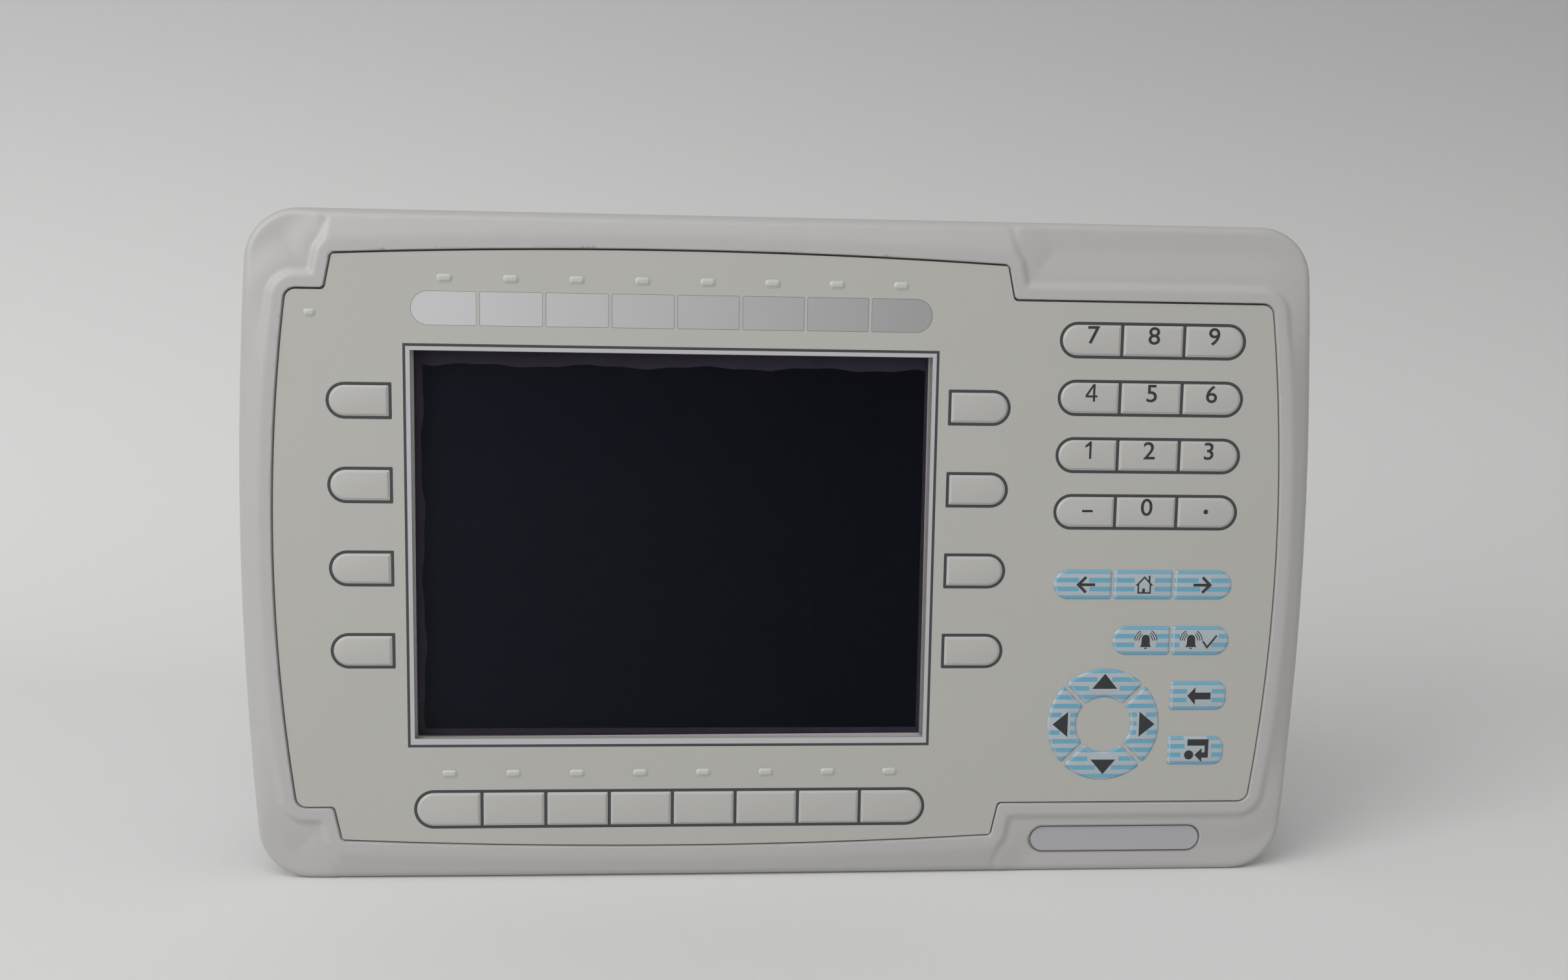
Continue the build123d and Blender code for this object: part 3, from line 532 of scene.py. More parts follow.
def pad_outline(turn, inset, steps=20):
    """A quarter of the direction pad, pulled in by inset. Turn 0 is the upper quarter."""
    outer = pad_outer - inset
    inner = pad_inner + inset
    half_gap = pad_gap / 2 + inset
    round_outer = 1.1
    round_inner = 0.7

    def side_angle(radius):
        return math.degrees(math.asin(half_gap / radius))

    def cut(radius, length):
        return math.degrees(length / radius)

    start = 45 + side_angle(outer) + cut(outer, round_outer)
    end = 135 - side_angle(outer) - cut(outer, round_outer)
    points = arc((0, 0), outer, start, end, steps)
    away = math.sqrt(outer**2 - half_gap**2) - round_outer
    near = math.sqrt(inner**2 - half_gap**2) + round_inner
    along = Vector((-math.sqrt(0.5), math.sqrt(0.5)))
    across = Vector((math.sqrt(0.5), math.sqrt(0.5)))
    left_side = [along * away + across * half_gap, along * near + across * half_gap]
    corner = along * math.sqrt(outer**2 - half_gap**2) + across * half_gap
    low_corner = along * math.sqrt(inner**2 - half_gap**2) + across * half_gap

    def bend(first, middle, last, count=4):
        shares = [number / count for number in range(1, count)]
        return [first * (1 - s) ** 2 + middle * 2 * s * (1 - s) + last * s * s for s in shares]

    points += bend(Vector(points[-1]), corner, left_side[0])
    points += [left_side[0], left_side[1]]
    inner_end = 135 - side_angle(inner) - cut(inner, round_inner)
    inner_start = 45 + side_angle(inner) + cut(inner, round_inner)
    inside = arc((0, 0), inner, inner_end, inner_start, steps)
    points += bend(left_side[1], low_corner, Vector(inside[0]))
    points += inside
    right_near = Vector((-left_side[1].x, left_side[1].y))
    right_away = Vector((-left_side[0].x, left_side[0].y))
    mirrored_low = Vector((-low_corner.x, low_corner.y))
    mirrored = Vector((-corner.x, corner.y))
    points += bend(Vector(inside[-1]), mirrored_low, right_near)
    points += [right_near, right_away]
    points += bend(right_away, mirrored, Vector(points[0]))
    spin = Matrix.Rotation(math.radians(turn), 2)
    spun = [spin @ Vector(point) for point in points]
    return [(pad_centre[0] + point.x, pad_centre[1] + point.y) for point in spun]


def key_outline(name, inset):
    if name in pad_keys:
        return pad_outline(pad_keys[name], inset)
    x_low, x_high, z_low, z_high, left, right = openings[name]
    return bar(x_low, x_high, z_low, z_high, left, right, inset)


def depth_in_key(name, x, z):
    """How far a point lies inside a key's outline."""
    if name in pad_keys:
        turn = math.radians(pad_keys[name])
        dx = x - pad_centre[0]
        dz = z - pad_centre[1]
        u = dx * math.cos(turn) + dz * math.sin(turn)
        v = -dx * math.sin(turn) + dz * math.cos(turn)
        away = math.hypot(u, v)
        side = (v - abs(u)) * math.sqrt(0.5) - pad_gap / 2
        return min(pad_outer - away, away - pad_inner, side)
    x_low, x_high, z_low, z_high, left, right = openings[name]
    radius = left if x < (x_low + x_high) / 2 else right
    half_x = (x_high - x_low) / 2
    half_z = (z_high - z_low) / 2
    dx = abs(x - (x_low + x_high) / 2) - half_x + radius
    dz = abs(z - (z_low + z_high) / 2) - half_z + radius
    if dx > 0 and dz > 0:
        return radius - math.hypot(dx, dz)
    return radius - max(dx, dz)


def key_height(name, x, z):
    inside = depth_in_key(name, x, z) - visual_clearance
    return film_high + emboss * soft_rise(inside / emboss_slope)


# The film, with an opening for each key, lamp and legend window

side_x = extent("overlay_film")[1]
side_corner_x = side_x - side_sagitta
bow_top_z = extent("overlay_film")[3]
bow_end_z = bow_top_z - bow_sagitta
step_z = bow_top_z - corner_field_depth
bow_left_x = left_field_width - side_corner_x
bow_right_x = side_corner_x - right_field_width


def bowed(x_start, x_end, z_end, z_crown, steps=24):
    """Points inside a shallow arc from one end to the other."""
    half = (x_end - x_start) / 2
    sagitta = z_crown - z_end
    radius = (half**2 + sagitta**2) / (2 * abs(sagitta))
    sign = math.copysign(1, sagitta)
    points = []
    for step in range(1, steps):
        x = x_start + (x_end - x_start) * step / steps
        fall = radius - math.sqrt(radius**2 - (x - (x_start + x_end) / 2) ** 2)
        points.append((x, z_crown - sign * fall, 0))
    return points


def film_outline(steps=6):
    """The film's outline, counter-clockwise from its lower left corner."""
    lower = [
        (-side_corner_x, -step_z, film_corner),
        (bow_left_x - step_slant, -step_z, step_corner),
        (bow_left_x, -bow_end_z, step_corner),
        *bowed(bow_left_x, bow_right_x, -bow_end_z, -bow_top_z),
        (bow_right_x, -bow_end_z, step_corner),
        (bow_right_x + step_slant, -step_z, step_corner),
        (side_corner_x, -step_z, film_corner),
    ]
    right = [(x, z, 0) for z, x, _ in bowed(-step_z, step_z, side_corner_x, side_x)]
    upper = [(x, -z, radius) for x, z, radius in reversed(lower)]
    left = [(-x, z, 0) for x, z, _ in reversed(right)]
    return rounded(lower + right + upper + left, steps)


lamp_size = (4.2, 2.3)
lamp_pitch = 16.8
lamp_row_x = -29.9
lamp_rows_z = (71.3, -59.1)
lamp_rise = 0.42
power_lamp_centre = (-122.7, 62.0)
power_lamp_size = (3.2, 2.2)
lamps = [
    ((lamp_row_x + (number - 3.5) * lamp_pitch, z), lamp_size) for z in lamp_rows_z for number in range(8)
]
lamps.append((power_lamp_centre, power_lamp_size))


def lamp_outline(centre, size, inset):
    half_x = size[0] / 2
    half_z = size[1] / 2
    x, z = centre
    return bar(x - half_x, x + half_x, z - half_z, z + half_z, 0.9 * half_z, 0.9 * half_z, inset)


legend_x_low, legend_x_high, legend_z_low, legend_z_high = extent("legend_windows")[:4]
legend_gap = 1.45
legend_growth = 0.6
legend_shift = 0.35
legend_pitch = (legend_x_high - legend_x_low + legend_gap) / 8
legend_corner = 0.4


def legend_outline(number, inset):
    x_low = legend_x_low + number * legend_pitch
    x_high = x_low + legend_pitch - legend_gap + legend_growth
    if number == 0:
        x_low -= legend_growth
    z_low = legend_z_low + legend_shift
    z_high = legend_z_high + legend_shift
    half = (z_high - z_low) / 2
    left = half if number == 0 else legend_corner
    right = half if number == 7 else legend_corner
    return bar(x_low, x_high, z_low, z_high, left, right, inset)


display_x_low, display_x_high, display_z_low, display_z_high = extent("display_window")[:4]
pane_cover_x = (1.7, 1.45)
pane_cover_z = (1.9, 1.85)
display = (
    display_x_low + pane_cover_x[0],
    display_x_high - pane_cover_x[1],
    display_z_low + pane_cover_z[0],
    display_z_high - pane_cover_z[1],
)


def box_outline(x_low, x_high, z_low, z_high):
    return [(x_low, z_low), (x_high, z_low), (x_high, z_high), (x_low, z_high)]


film_openings = [key_outline(name, 0) for name in bar_keys + list(pad_keys)]
film_openings += [lamp_outline(centre, size, 0.0) for centre, size in lamps]
film_openings += [legend_outline(number, -visual_clearance) for number in range(8)]
film_openings.append(box_outline(*display))
film_gap_growth = 0.3
film_edge = [tuple(point) for point in beside_loop(numpy.array(film_outline()), -film_gap_growth)]
piece_of(
    "keypad_film",
    plate_mesh("keypad_film", [film_edge] + film_openings, film_low, film_high),
    "housing",
    "overlay",
    "overlay",
    replaces=["overlay_film"],
)

# Name plate: a bare pill in its recess

plate_centre = (92.4, -78.9)
plate_size = (48.2, 7.8)
plate_floor = 3.5
plate_rise = 0.62
plate_line = 0.22


def pill(inset):
    half_x = plate_size[0] / 2
    half_z = plate_size[1] / 2
    x, z = plate_centre
    return bar(x - half_x, x + half_x, z - half_z, z + half_z, half_z, half_z, inset, 14)


# The moulded frame: the construction's own back, walls and recesses, with a softly sculpted front

frame_high = extent("front_bezel")[5]
side_top = 1.8
rim_rounding = 2.2
sunk_level = 3.8
field_level = 3.75
wall_start = 1.8
wall_end = 4.4
lip_width = 2.6
lip_run = 2.4
lip_drop = 1.15
field_run = 14.0
lip_edge = 0.35
lip_edge_fall = 0.15
painted_shade_depth = 2.0
rim_angles = (15, 30, 45, 60, 75, 90)
moulding_grid = 0.7
loop_spacing = 1.5


def smooth_between(value, start, end):
    """0 before start, 1 after end, level at both."""
    share = numpy.clip((value - start) / (end - start), 0, 1)
    return share * share * (3 - 2 * share)


def bent(distance, softness):
    """A line that turns from level to rising at 0, with a rounded bend."""
    return (numpy.sqrt(distance**2 + softness**2) + distance) / 2


def moulded_height(x, z, inner, outer):
    """The front's height at points this far from the film's recess and from the outer edge."""
    slanted = step_slant * (bow_end_z - numpy.abs(z)) / (bow_end_z - step_z)
    left_of_bow = smooth_between(bow_left_x - slanted - x, wall_start, wall_end)
    right_of_bow = smooth_between(x - bow_right_x - slanted, wall_start, wall_end)
    beside = numpy.maximum(left_of_bow, right_of_bow)
    field_share = beside * smooth_between(numpy.abs(z), 46, 70)
    slope = 0.29 + 0.21 * beside
    bend = 3.2 + 0.1 * beside
    softness = 0.8 - 0.3 * beside
    shoulder = frame_high - slope * (bent(inner - bend, softness) - bent(-bend, softness))
    field = frame_high - lip_drop * smooth_between(inner, lip_width, lip_width + lip_run)
    field -= (frame_high - lip_drop - field_level) * smooth_between(inner, lip_width + lip_run, field_run)
    height = shoulder + (field - shoulder) * field_share
    away = 1 - numpy.clip(outer / rim_rounding, 0, 1)
    return height - (height - side_top) * (1 - numpy.sqrt(1 - away**2))


def lies_inside(points, outline):
    """Which points lie inside a closed outline."""
    crossings = numpy.zeros(len(points), dtype=int)
    for (x1, z1), (x2, z2) in zip(outline, numpy.roll(outline, -1, axis=0)):
        if z1 == z2:
            continue
        spans = (z1 > points[:, 1]) != (z2 > points[:, 1])
        crossings += spans & (points[:, 0] < x1 + (points[:, 1] - z1) / (z2 - z1) * (x2 - x1))
    return crossings % 2 == 1


def distance_to(points, outline):
    """How far points lie from a closed outline."""
    nearest = numpy.full(len(points), numpy.inf)
    for first, second in zip(outline, numpy.roll(outline, -1, axis=0)):
        along = second - first
        share = numpy.clip((points - first) @ along / (along @ along), 0, 1)
        away = points - first - share[:, None] * along
        nearest = numpy.minimum(nearest, numpy.hypot(away[:, 0], away[:, 1]))
    return nearest


def loops_of(edges):
    """The closed chains of vertices along these edges."""
    links = {}
    for edge in edges:
        first, second = edge.verts
        links.setdefault(first, []).append(second)
        links.setdefault(second, []).append(first)
    loops = []
    used = set()
    for start in sorted(links, key=lambda vert: vert.index):
        if start in used:
            continue
        loop = [start]
        used.add(start)
        while True:
            following = [vert for vert in links[loop[-1]] if vert not in used]
            if not following:
                break
            loop.append(following[0])
            used.add(following[0])
        loops.append(loop)
    return loops


def flat_of(verts):
    return numpy.array([(vert.co.x / mm, vert.co.z / mm) for vert in verts])


def open_edges(work):
    return [edge for edge in work.edges if len(edge.link_faces) == 1]


def without_front():
    """The frame's mesh with its front taken off, down to the recesses and the side walls."""
    work = bmesh.new()
    work.from_mesh(nodes["front_bezel"].data)
    bmesh.ops.remove_doubles(work, verts=work.verts, dist=0.002 * mm)
    work.verts.index_update()
    faces = [face for face in work.faces if min(-vert.co.y for vert in face.verts) > (side_top - 0.01) * mm]
    centres = numpy.array([(face.calc_center_median().x / mm, face.calc_center_median().z / mm) for face in faces])
    near_recess = lies_inside(centres, beside_loop(numpy.array(film_outline()), 0.6))
    near_plate = lies_inside(centres, beside_loop(numpy.array(pill(0)), 0.4))
    upright = numpy.array([abs(face.normal.y) < 0.3 for face in faces])
    sunk = numpy.array([max(-vert.co.y for vert in face.verts) < sunk_level * mm for face in faces])
    kept = (near_recess | near_plate) & (upright | sunk)
    front = [face for face, keep in zip(faces, kept) if not keep]
    bmesh.ops.delete(work, geom=front, context="FACES")
    by_cuts = {}
    for edge in open_edges(work):
        cuts = int(edge.calc_length() / mm / loop_spacing)
        if cuts:
            by_cuts.setdefault(cuts, []).append(edge)
    for cuts, edges in sorted(by_cuts.items()):
        bmesh.ops.subdivide_edges(work, edges=edges, cuts=cuts)
    work.verts.index_update()
    return work


def moulded_frame():
    work = without_front()
    loops = sorted(loops_of(open_edges(work)), key=lambda loop: -numpy.ptp(flat_of(loop)[:, 0]))
    outer_loop, recess_loop, plate_loop = loops
    outer, recess, plate = (flat_of(loop) for loop in loops)
    for vert in recess_loop:
        vert.co.y = -(frame_high - lip_edge_fall) * mm
    plate_heights = moulded_height(*plate.T, distance_to(plate, recess), distance_to(plate, outer))
    for vert, height in zip(plate_loop, plate_heights):
        vert.co.y = -height * mm
    rings = [beside_loop(outer, -rim_rounding * (1 - math.cos(math.radians(angle)))) for angle in rim_angles]
    rings += [beside_loop(recess, lip_edge * share) for share in (0.4, 1.0)]
    x_low, z_low = outer.min(axis=0)
    x_high, z_high = outer.max(axis=0)
    columns = numpy.arange(x_low, x_high, moulding_grid)
    rows = numpy.arange(z_low, z_high, moulding_grid)
    grid = numpy.array([(x, z) for x in columns for z in rows])
    grid = grid[lies_inside(grid, outer) & ~lies_inside(grid, recess) & ~lies_inside(grid, plate)]
    margin = 0.4
    clear_of = distance_to(grid, outer) > rim_rounding + margin
    clear_of &= distance_to(grid, recess) > lip_edge + margin
    clear_of &= distance_to(grid, plate) > margin
    free = numpy.concatenate(rings + [grid[clear_of]])
    heights = moulded_height(free[:, 0], free[:, 1], distance_to(free, recess), distance_to(free, outer))
    held = outer_loop + recess_loop + plate_loop
    flat = numpy.concatenate([outer, recess, plate, free])
    borders = []
    start = 0
    for loop in loops:
        count = len(loop)
        borders += [(start + number, start + (number + 1) % count) for number in range(count)]
        start += count
    points = [Vector(point) for point in flat]
    found, _, triangles, origins, _, _ = delaunay_2d_cdt(points, borders, [], 0, 1e-6)
    source = [origin[0] for origin in origins]
    corners = numpy.array([[flat[source[corner]] for corner in triangle] for triangle in triangles])
    centres = corners.mean(axis=1)
    wanted = lies_inside(centres, outer) & ~lies_inside(centres, recess) & ~lies_inside(centres, plate)
    new_verts = [work.verts.new(place(x, z, height)) for (x, z), height in zip(free, heights)]
    verts = held + new_verts
    for triangle, want in zip(triangles, wanted):
        if want:
            work.faces.new([verts[source[corner]] for corner in triangle])
    bmesh.ops.recalc_face_normals(work, faces=work.faces)
    # Painted shade: the recess walls near the film, down to this depth, take the near-black second finish. It stands
    # for the shadow in the gap round the film, with a little dirt.
    painted_shade_floor = frame_high - lip_edge_fall - painted_shade_depth
    near_film = beside_loop(recess, 0.05)
    walls = [face for face in work.faces if abs(face.normal.y) < 0.1]
    wall_centres = numpy.array(
        [(face.calc_center_median().x / mm, face.calc_center_median().z / mm) for face in walls]
    )
    for face, shut_in in zip(walls, lies_inside(wall_centres, near_film)):
        if shut_in and max(-vert.co.y / mm for vert in face.verts) > painted_shade_floor:
            face.material_index = 1
    loose = [vert for vert in work.verts if not vert.link_faces]
    bmesh.ops.delete(work, geom=loose, context="VERTS")
    mesh = bpy.data.meshes.new("frame_moulding")
    work.to_mesh(mesh)
    work.free()
    return mesh


# Its second finish is painted shade on the recess walls round the film.
piece_of(
    "frame_moulding",
    moulded_frame(),
    nodes["front_bezel"]["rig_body"],
    "bezel",
    "bezel",
    "seam",
    replaces=["front_bezel"],
)

# Embossed keys


def key_piece(name):
    def outline_at(inset):
        return key_outline(name, inset + visual_clearance)

    points, faces = relief(embossed(outline_at, film_low, film_high, emboss, emboss_slope))
    mesh = mesh_of(f"{name}_emboss", points, faces)
    surface = "striped_key" if name in striped_keys or name in pad_keys else "key"
    piece_of(f"{name}_emboss", mesh, name, "key", surface, replaces=[name], smooth=60)


for name in bar_keys + list(pad_keys):
    key_piece(name)

# Printed lines round the keys


def grown_bar(name_low, name_high, margin_left, margin_right):
    x_low = openings[name_low][0] - margin_left
    x_high = openings[name_high][1] + margin_right
    z_low = openings[name_low][2] - stroke
    z_high = openings[name_low][3] + stroke
    half = (z_high - z_low) / 2
    left = half if name_low in round_left_keys else line_corner
    right = half if name_high in round_right_keys else line_corner
    return bar(x_low, x_high, z_low, z_high, left, right)


for name in soft_keys:
    printed(f"{name}_line", [grown_bar(name, name, stroke, stroke), key_outline(name, 0)], "ink")
printed(
    "function_row_line",
    [grown_bar("function_key_1", "function_key_8", stroke, stroke)]
    + [key_outline(name, 0) for name in function_keys],
    "ink",
)
for number, row in enumerate(digit_rows):
    outlines = [grown_bar(row[0], row[2], stroke, stroke)] + [key_outline(name, 0) for name in row]
    printed(f"digit_row_{number + 1}_line", outlines, "ink")

# Frame line and white band round the display

band_left, band_right, band_low, band_high = 1.1, 1.0, 1.55, 1.0
line_width = 0.72


def round_display(growth):
    """The outline of the display's band, grown by a line's width."""
    x_low, x_high, z_low, z_high = display
    return box_outline(
        x_low - band_left - growth,
        x_high + band_right + growth,
        z_low - band_low - growth,
        z_high + band_high + growth,
    )


printed("display_line", [round_display(line_width), round_display(0)], "ink")
printed("display_band", [round_display(0), box_outline(*display)], "white")

# Legend windows and lamps


def joined_relief(name, parts, body, slot, *finishes, **options):
    """One piece of several closed solids."""
    points = []
    faces = []
    for part_points, part_faces in parts:
        start = len(points)
        points += part_points
        faces += [tuple(start + number for number in face) for face in part_faces]
    return piece_of(name, mesh_of(name, points, faces), body, slot, *finishes, **options)


legend_low = film_low
legend_high = film_high - 0.05
joined_relief(
    "legend_panes",
    [
        relief(
            [
                (legend_outline(number, 0), legend_low),
                (legend_outline(number, 0), legend_high - 0.08),
                (legend_outline(number, 0.12), legend_high),
            ]
        )
        for number in range(8)
    ],
    "housing",
    "legend",
    "legend",
    replaces=["legend_windows"],
    smooth=25,
)

joined_relief(
    "lamp_bumps",
    [
        relief(
            embossed(
                lambda inset, centre=centre, size=size: lamp_outline(centre, size, inset + visual_clearance),
                film_low,
                film_high,
                lamp_rise,
                0.75,
            )
        )
        for centre, size in lamps
    ],
    "housing",
    "lamp",
    "lamp",
    replaces=["status_lamps"],
    smooth=60,
)

# Stripes and signs on the keys

nav_gaps = {
    "previous_key": {1: (79.0, 81.8), 2: (79.0, 82.0)},
    "home_key": {1: (94.3, 99.9), 2: (94.3, 99.9)},
    "next_key": {1: (112.0, 115.5), 2: (112.5, 114.3)},
    "alarm_list_key": {1: (95.0, 101.0), 2: (95.0, 101.0)},
    "alarm_reset_key": {1: (107.5, 118.3), 2: (107.5, 116.3)},
    "backspace_key": {1: (110.3, 117.2), 2: (110.3, 117.2)},
    "enter_key": {0: (110.0, 116.5), 1: (110.3, 117.7), 2: (109.3, 118.0)},
}
pad_stripe_pitch = 2.46
pad_stripe_middle = -45.9
pad_gaps = {
    "up_key": {5: (85.2, 89.3), 4: (83.0, 91.5)},
    "left_key": {1: (75.7, 78.2), 0: (60.0, 78.2), -1: (75.3, 78.2)},
    "right_key": {1: (96.6, 99.1), 0: (96.6, 115.0), -1: (96.6, 99.5)},
    "down_key": {-4: (83.3, 92.0), -5: (85.5, 90.0)},
}


def stripe_runs(x_low, x_high, gap):
    if gap is None:
        return [(x_low, x_high)]
    runs = [(x_low, min(gap[0], x_high)), (max(gap[1], x_low), x_high)]
    return [run for run in runs if run[1] - run[0] > 0.2]


def draped_stripe(name, x_low, x_high, z, margin=0.09):
    """A band of ink that follows the key's surface, cut off at the key's edge."""
    step = 0.3
    rows = 4
    tries = 24
    count = max(2, int((x_high - x_low) / step) + 1)
    points = []
    faces = []
    columns = []
    for number in range(count):
        x = x_low + (x_high - x_low) * number / (count - 1)
        heights = [z + stripe_thickness * (number / tries - 0.5) for number in range(tries + 1)]
        heights = [height for height in heights if depth_in_key(name, x, height) >= margin]
        if len(heights) < 3:
            columns.append(None)
            continue
        columns.append(len(points))
        for row in range(rows + 1):
            level = heights[0] + (heights[-1] - heights[0]) * row / rows
            points.append(place(x, level, key_height(name, x, level) + 0.6 * print_thickness))
    for first, second in zip(columns, columns[1:]):
        if first is None or second is None:
            continue
        for row in range(rows):
            faces.append((first + row, second + row, second + row + 1, first + row + 1))
    return points, faces


def stripes(name, levels, gaps):
    """All bands of a key, as one thin piece."""
    x_low, x_high = extent(name)[:2]
    x_low -= nav_growth
    x_high += nav_growth
    parts = []
    for number, z in levels:
        for run in stripe_runs(x_low, x_high, gaps.get(number)):
            part = draped_stripe(name, *run, z)
            if part[1]:
                parts.append(part)
    joined_relief(f"{name}_stripes", parts, name, "key", "stripe")


for name in striped_keys:
    middle = (openings[name][2] + openings[name][3]) / 2 + 0.05
    levels = [(number, middle + (1.5 - number) * 2.4) for number in range(4)]
    stripes(name, levels, nav_gaps[name])
for name in pad_keys:
    levels = [(number, pad_stripe_middle + number * pad_stripe_pitch) for number in range(-6, 7)]
    stripes(name, levels, pad_gaps[name])


def sign(name, key, outlines, finish_name="icon"):
    """A printed sign on a key."""
    return printed(name, outlines, finish_name, body=key, slot="key", base=key_high)


def stroke_path(points, width):
    """The outline of a bent line of even width with square ends."""
    vectors = [Vector(point) for point in points]
    left = []
    right = []
    for number, here in enumerate(vectors):
        before = vectors[max(0, number - 1)]
        after = vectors[min(len(vectors) - 1, number + 1)]
        first = (here - before).normalized() if number else (after - here).normalized()
        second = (after - here).normalized() if number < len(vectors) - 1 else first
        middle = (first + second).normalized()
        normal = Vector((-middle.y, middle.x))
        reach = width / 2 / max(0.4, normal.dot(Vector((-first.y, first.x))))
        left.append(tuple(here + normal * reach))
        right.append(tuple(here - normal * reach))
    return right + left[::-1]


def open_arrow(tip, length, reach, width):
    """The outline of an arrow with an open head. A negative length points it to the left."""
    side = math.copysign(1, length)
    corner = width * math.sqrt(0.5)
    cap = corner / 2
    inner = width / 2 + corner
    upper = [
        (-corner, 0),
        (reach - cap, reach + cap),
        (reach + cap, reach - cap),
        (inner, width / 2),
        (abs(length), width / 2),
    ]
    lower = [(x, -z) for x, z in reversed(upper[1:])]
    return [(tip[0] - side * x, tip[1] + z) for x, z in upper + lower]


arrow_line = 0.78
sign("previous_sign", "previous_key", [open_arrow((78.9, -7.5), -4.6, 2.1, arrow_line)])
sign("next_sign", "next_key", [open_arrow((115.2, -7.5), 4.6, 2.1, arrow_line)])


def house(x, z, half, line):
    """A house in outline with a pitched roof, a chimney and a door. The foot's middle is at (x, z)."""
    eave = z + 2.2
    ridge = z + 4.8
    slope = (ridge - eave) / (half + 0.6)
    chimney = (1.1, 1.6)
    walls = [
        (x - half, z),
        (x + half, z),
        (x + half, eave),
        (x + half + 0.6, eave),
        (x + chimney[1], ridge - slope * chimney[1]),
        (x + chimney[1], ridge + 0.1),
        (x + chimney[0], ridge + 0.1),
        (x + chimney[0], ridge - slope * chimney[0]),
        (x, ridge),
        (x - half - 0.6, eave),
        (x - half, eave),
    ]
    inner_half = half - line
    inner_eave = ridge - slope * inner_half - 1.5 * line
    room = [
        (x - inner_half, z + line),
        (x - 0.55, z + line),
        (x - 0.55, z + 1.4),
        (x + 0.2, z + 1.4),
        (x + 0.2, z + line),
        (x + inner_half, z + line),
        (x + inner_half, inner_eave),
        (x, ridge - 1.5 * line),
        (x - inner_half, inner_eave),
    ]
    return [walls, room]


sign("home_sign", "home_key", house(97.05, -9.9, 1.85, 0.42))


def bell(x, z_top):
    """A bell's outline, its clapper, and sound waves at its upper left and right."""
    shape = [(x - 1.55, z_top - 3.4), (x + 1.55, z_top - 3.4), (x + 1.2, z_top - 2.8), (x + 1.1, z_top - 1.3)]
    shape += arc((x, z_top - 1.1), 1.1, 0, 180, 10)
    shape += [(x - 1.1, z_top - 1.3), (x - 1.2, z_top - 2.8)]
    clapper = arc((x, z_top - 3.5), 0.45, 190, 350, 8)
    outlines = [shape, clapper]
    for side in (1, -1):
        for radius in (1.85, 2.45, 3.05):
            wave = arc((x, z_top - 1.6), radius, 0, 60, 10)
            outlines.append(stroke_path([(x + side * (px - x), pz) for px, pz in wave], 0.24))
    return outlines


tick = stroke_path([(114.0, -23.0), (115.2, -24.7), (117.8, -21.4)], 0.5)
sign("alarm_list_sign", "alarm_list_key", bell(98.1, -21.2))
sign("alarm_reset_sign", "alarm_reset_key", bell(110.7, -21.2) + [tick])
sign(
    "backspace_sign",
    "backspace_key",
    [[(110.4, -38.2), (112.6, -40.7), (112.6, -39.2), (116.9, -39.2), (116.9, -37.3), (112.6, -37.3), (112.6, -35.8)]],
)
sign(
    "enter_sign",
    "enter_key",
    [
        [(111.1, -52.2), (116.0, -52.2), (116.0, -54.1), (115.2, -54.1), (115.2, -52.9), (113.2, -54.8)]
        + [(115.2, -56.8), (115.2, -55.6), (117.0, -55.6), (117.0, -50.4), (111.1, -50.4)],
        arc((111.6, -54.8), 1.3, 0, 345, 20),
    ],
)
sign("up_sign", "up_key", [[(83.9, -36.2), (90.8, -36.2), (87.35, -32.0)]])
sign("down_sign", "down_key", [[(84.2, -56.0), (87.7, -60.1), (91.1, -56.0)]])
sign("left_sign", "left_key", [[(73.3, -46.1), (77.5, -49.6), (77.5, -42.6)]])
sign("right_sign", "right_key", [[(101.6, -46.1), (97.3, -42.6), (97.3, -49.6)]])

# Numerals

numeral_height = 4.65
numeral_rise = 1.4
numeral_weight = 0.008
numeral_breadth = 1.07


def numeral(text, key, x):
    """A plain printed numeral on a digit key."""
    curve = bpy.data.curves.new(f"{key}_numeral", "FONT")
    curve.body = text
    curve.resolution_u = 6
    curve.offset = numeral_weight
    holder = bpy.data.objects.new(curve.name, curve)
    bpy.context.scene.collection.objects.link(holder)
    bpy.context.view_layer.update()
    mesh = bpy.data.meshes.new_from_object(holder.evaluated_get(bpy.context.evaluated_depsgraph_get()))
    bpy.data.objects.remove(holder)
    low_x = min(vertex.co.x for vertex in mesh.vertices)
    high_x = max(vertex.co.x for vertex in mesh.vertices)
    low_z = min(vertex.co.y for vertex in mesh.vertices)
    high_z = max(vertex.co.y for vertex in mesh.vertices)
    scale = numeral_height * mm / (high_z - low_z)
    z = (openings[key][2] + openings[key][3]) / 2 + numeral_rise
    centre = Matrix.Translation((-(low_x + high_x) / 2, -(low_z + high_z) / 2, 0))
    size = Matrix.Diagonal((numeral_breadth * scale, scale, scale, 1))
    upright = Matrix.Rotation(math.pi / 2, 4, "X")
    mesh.transform(Matrix.Translation(place(x, z, key_high + print_thickness)) @ upright @ size @ centre)
    mesh.name = curve.name
    piece_of(mesh.name, mesh, key, "key", "icon")


numeral_x = (80.4, 96.7, 113.0)
drawn_digits = ("digit_key_1", "digit_key_4")
for row in digit_rows:
    for key, x in zip(row, numeral_x):
        if key.startswith("digit") and key not in drawn_digits:
            numeral(key[-1], key, x)


def drawn_numeral(key, outlines):
    """A numeral on a key of the first column, from outlines round the middle of its foot."""
    foot_x = numeral_x[0]
    foot_z = (openings[key][2] + openings[key][3]) / 2 + numeral_rise - numeral_height / 2
    placed = [[(foot_x + x, foot_z + z) for x, z in outline] for outline in outlines]
    sign(f"{key}_numeral", key, placed)


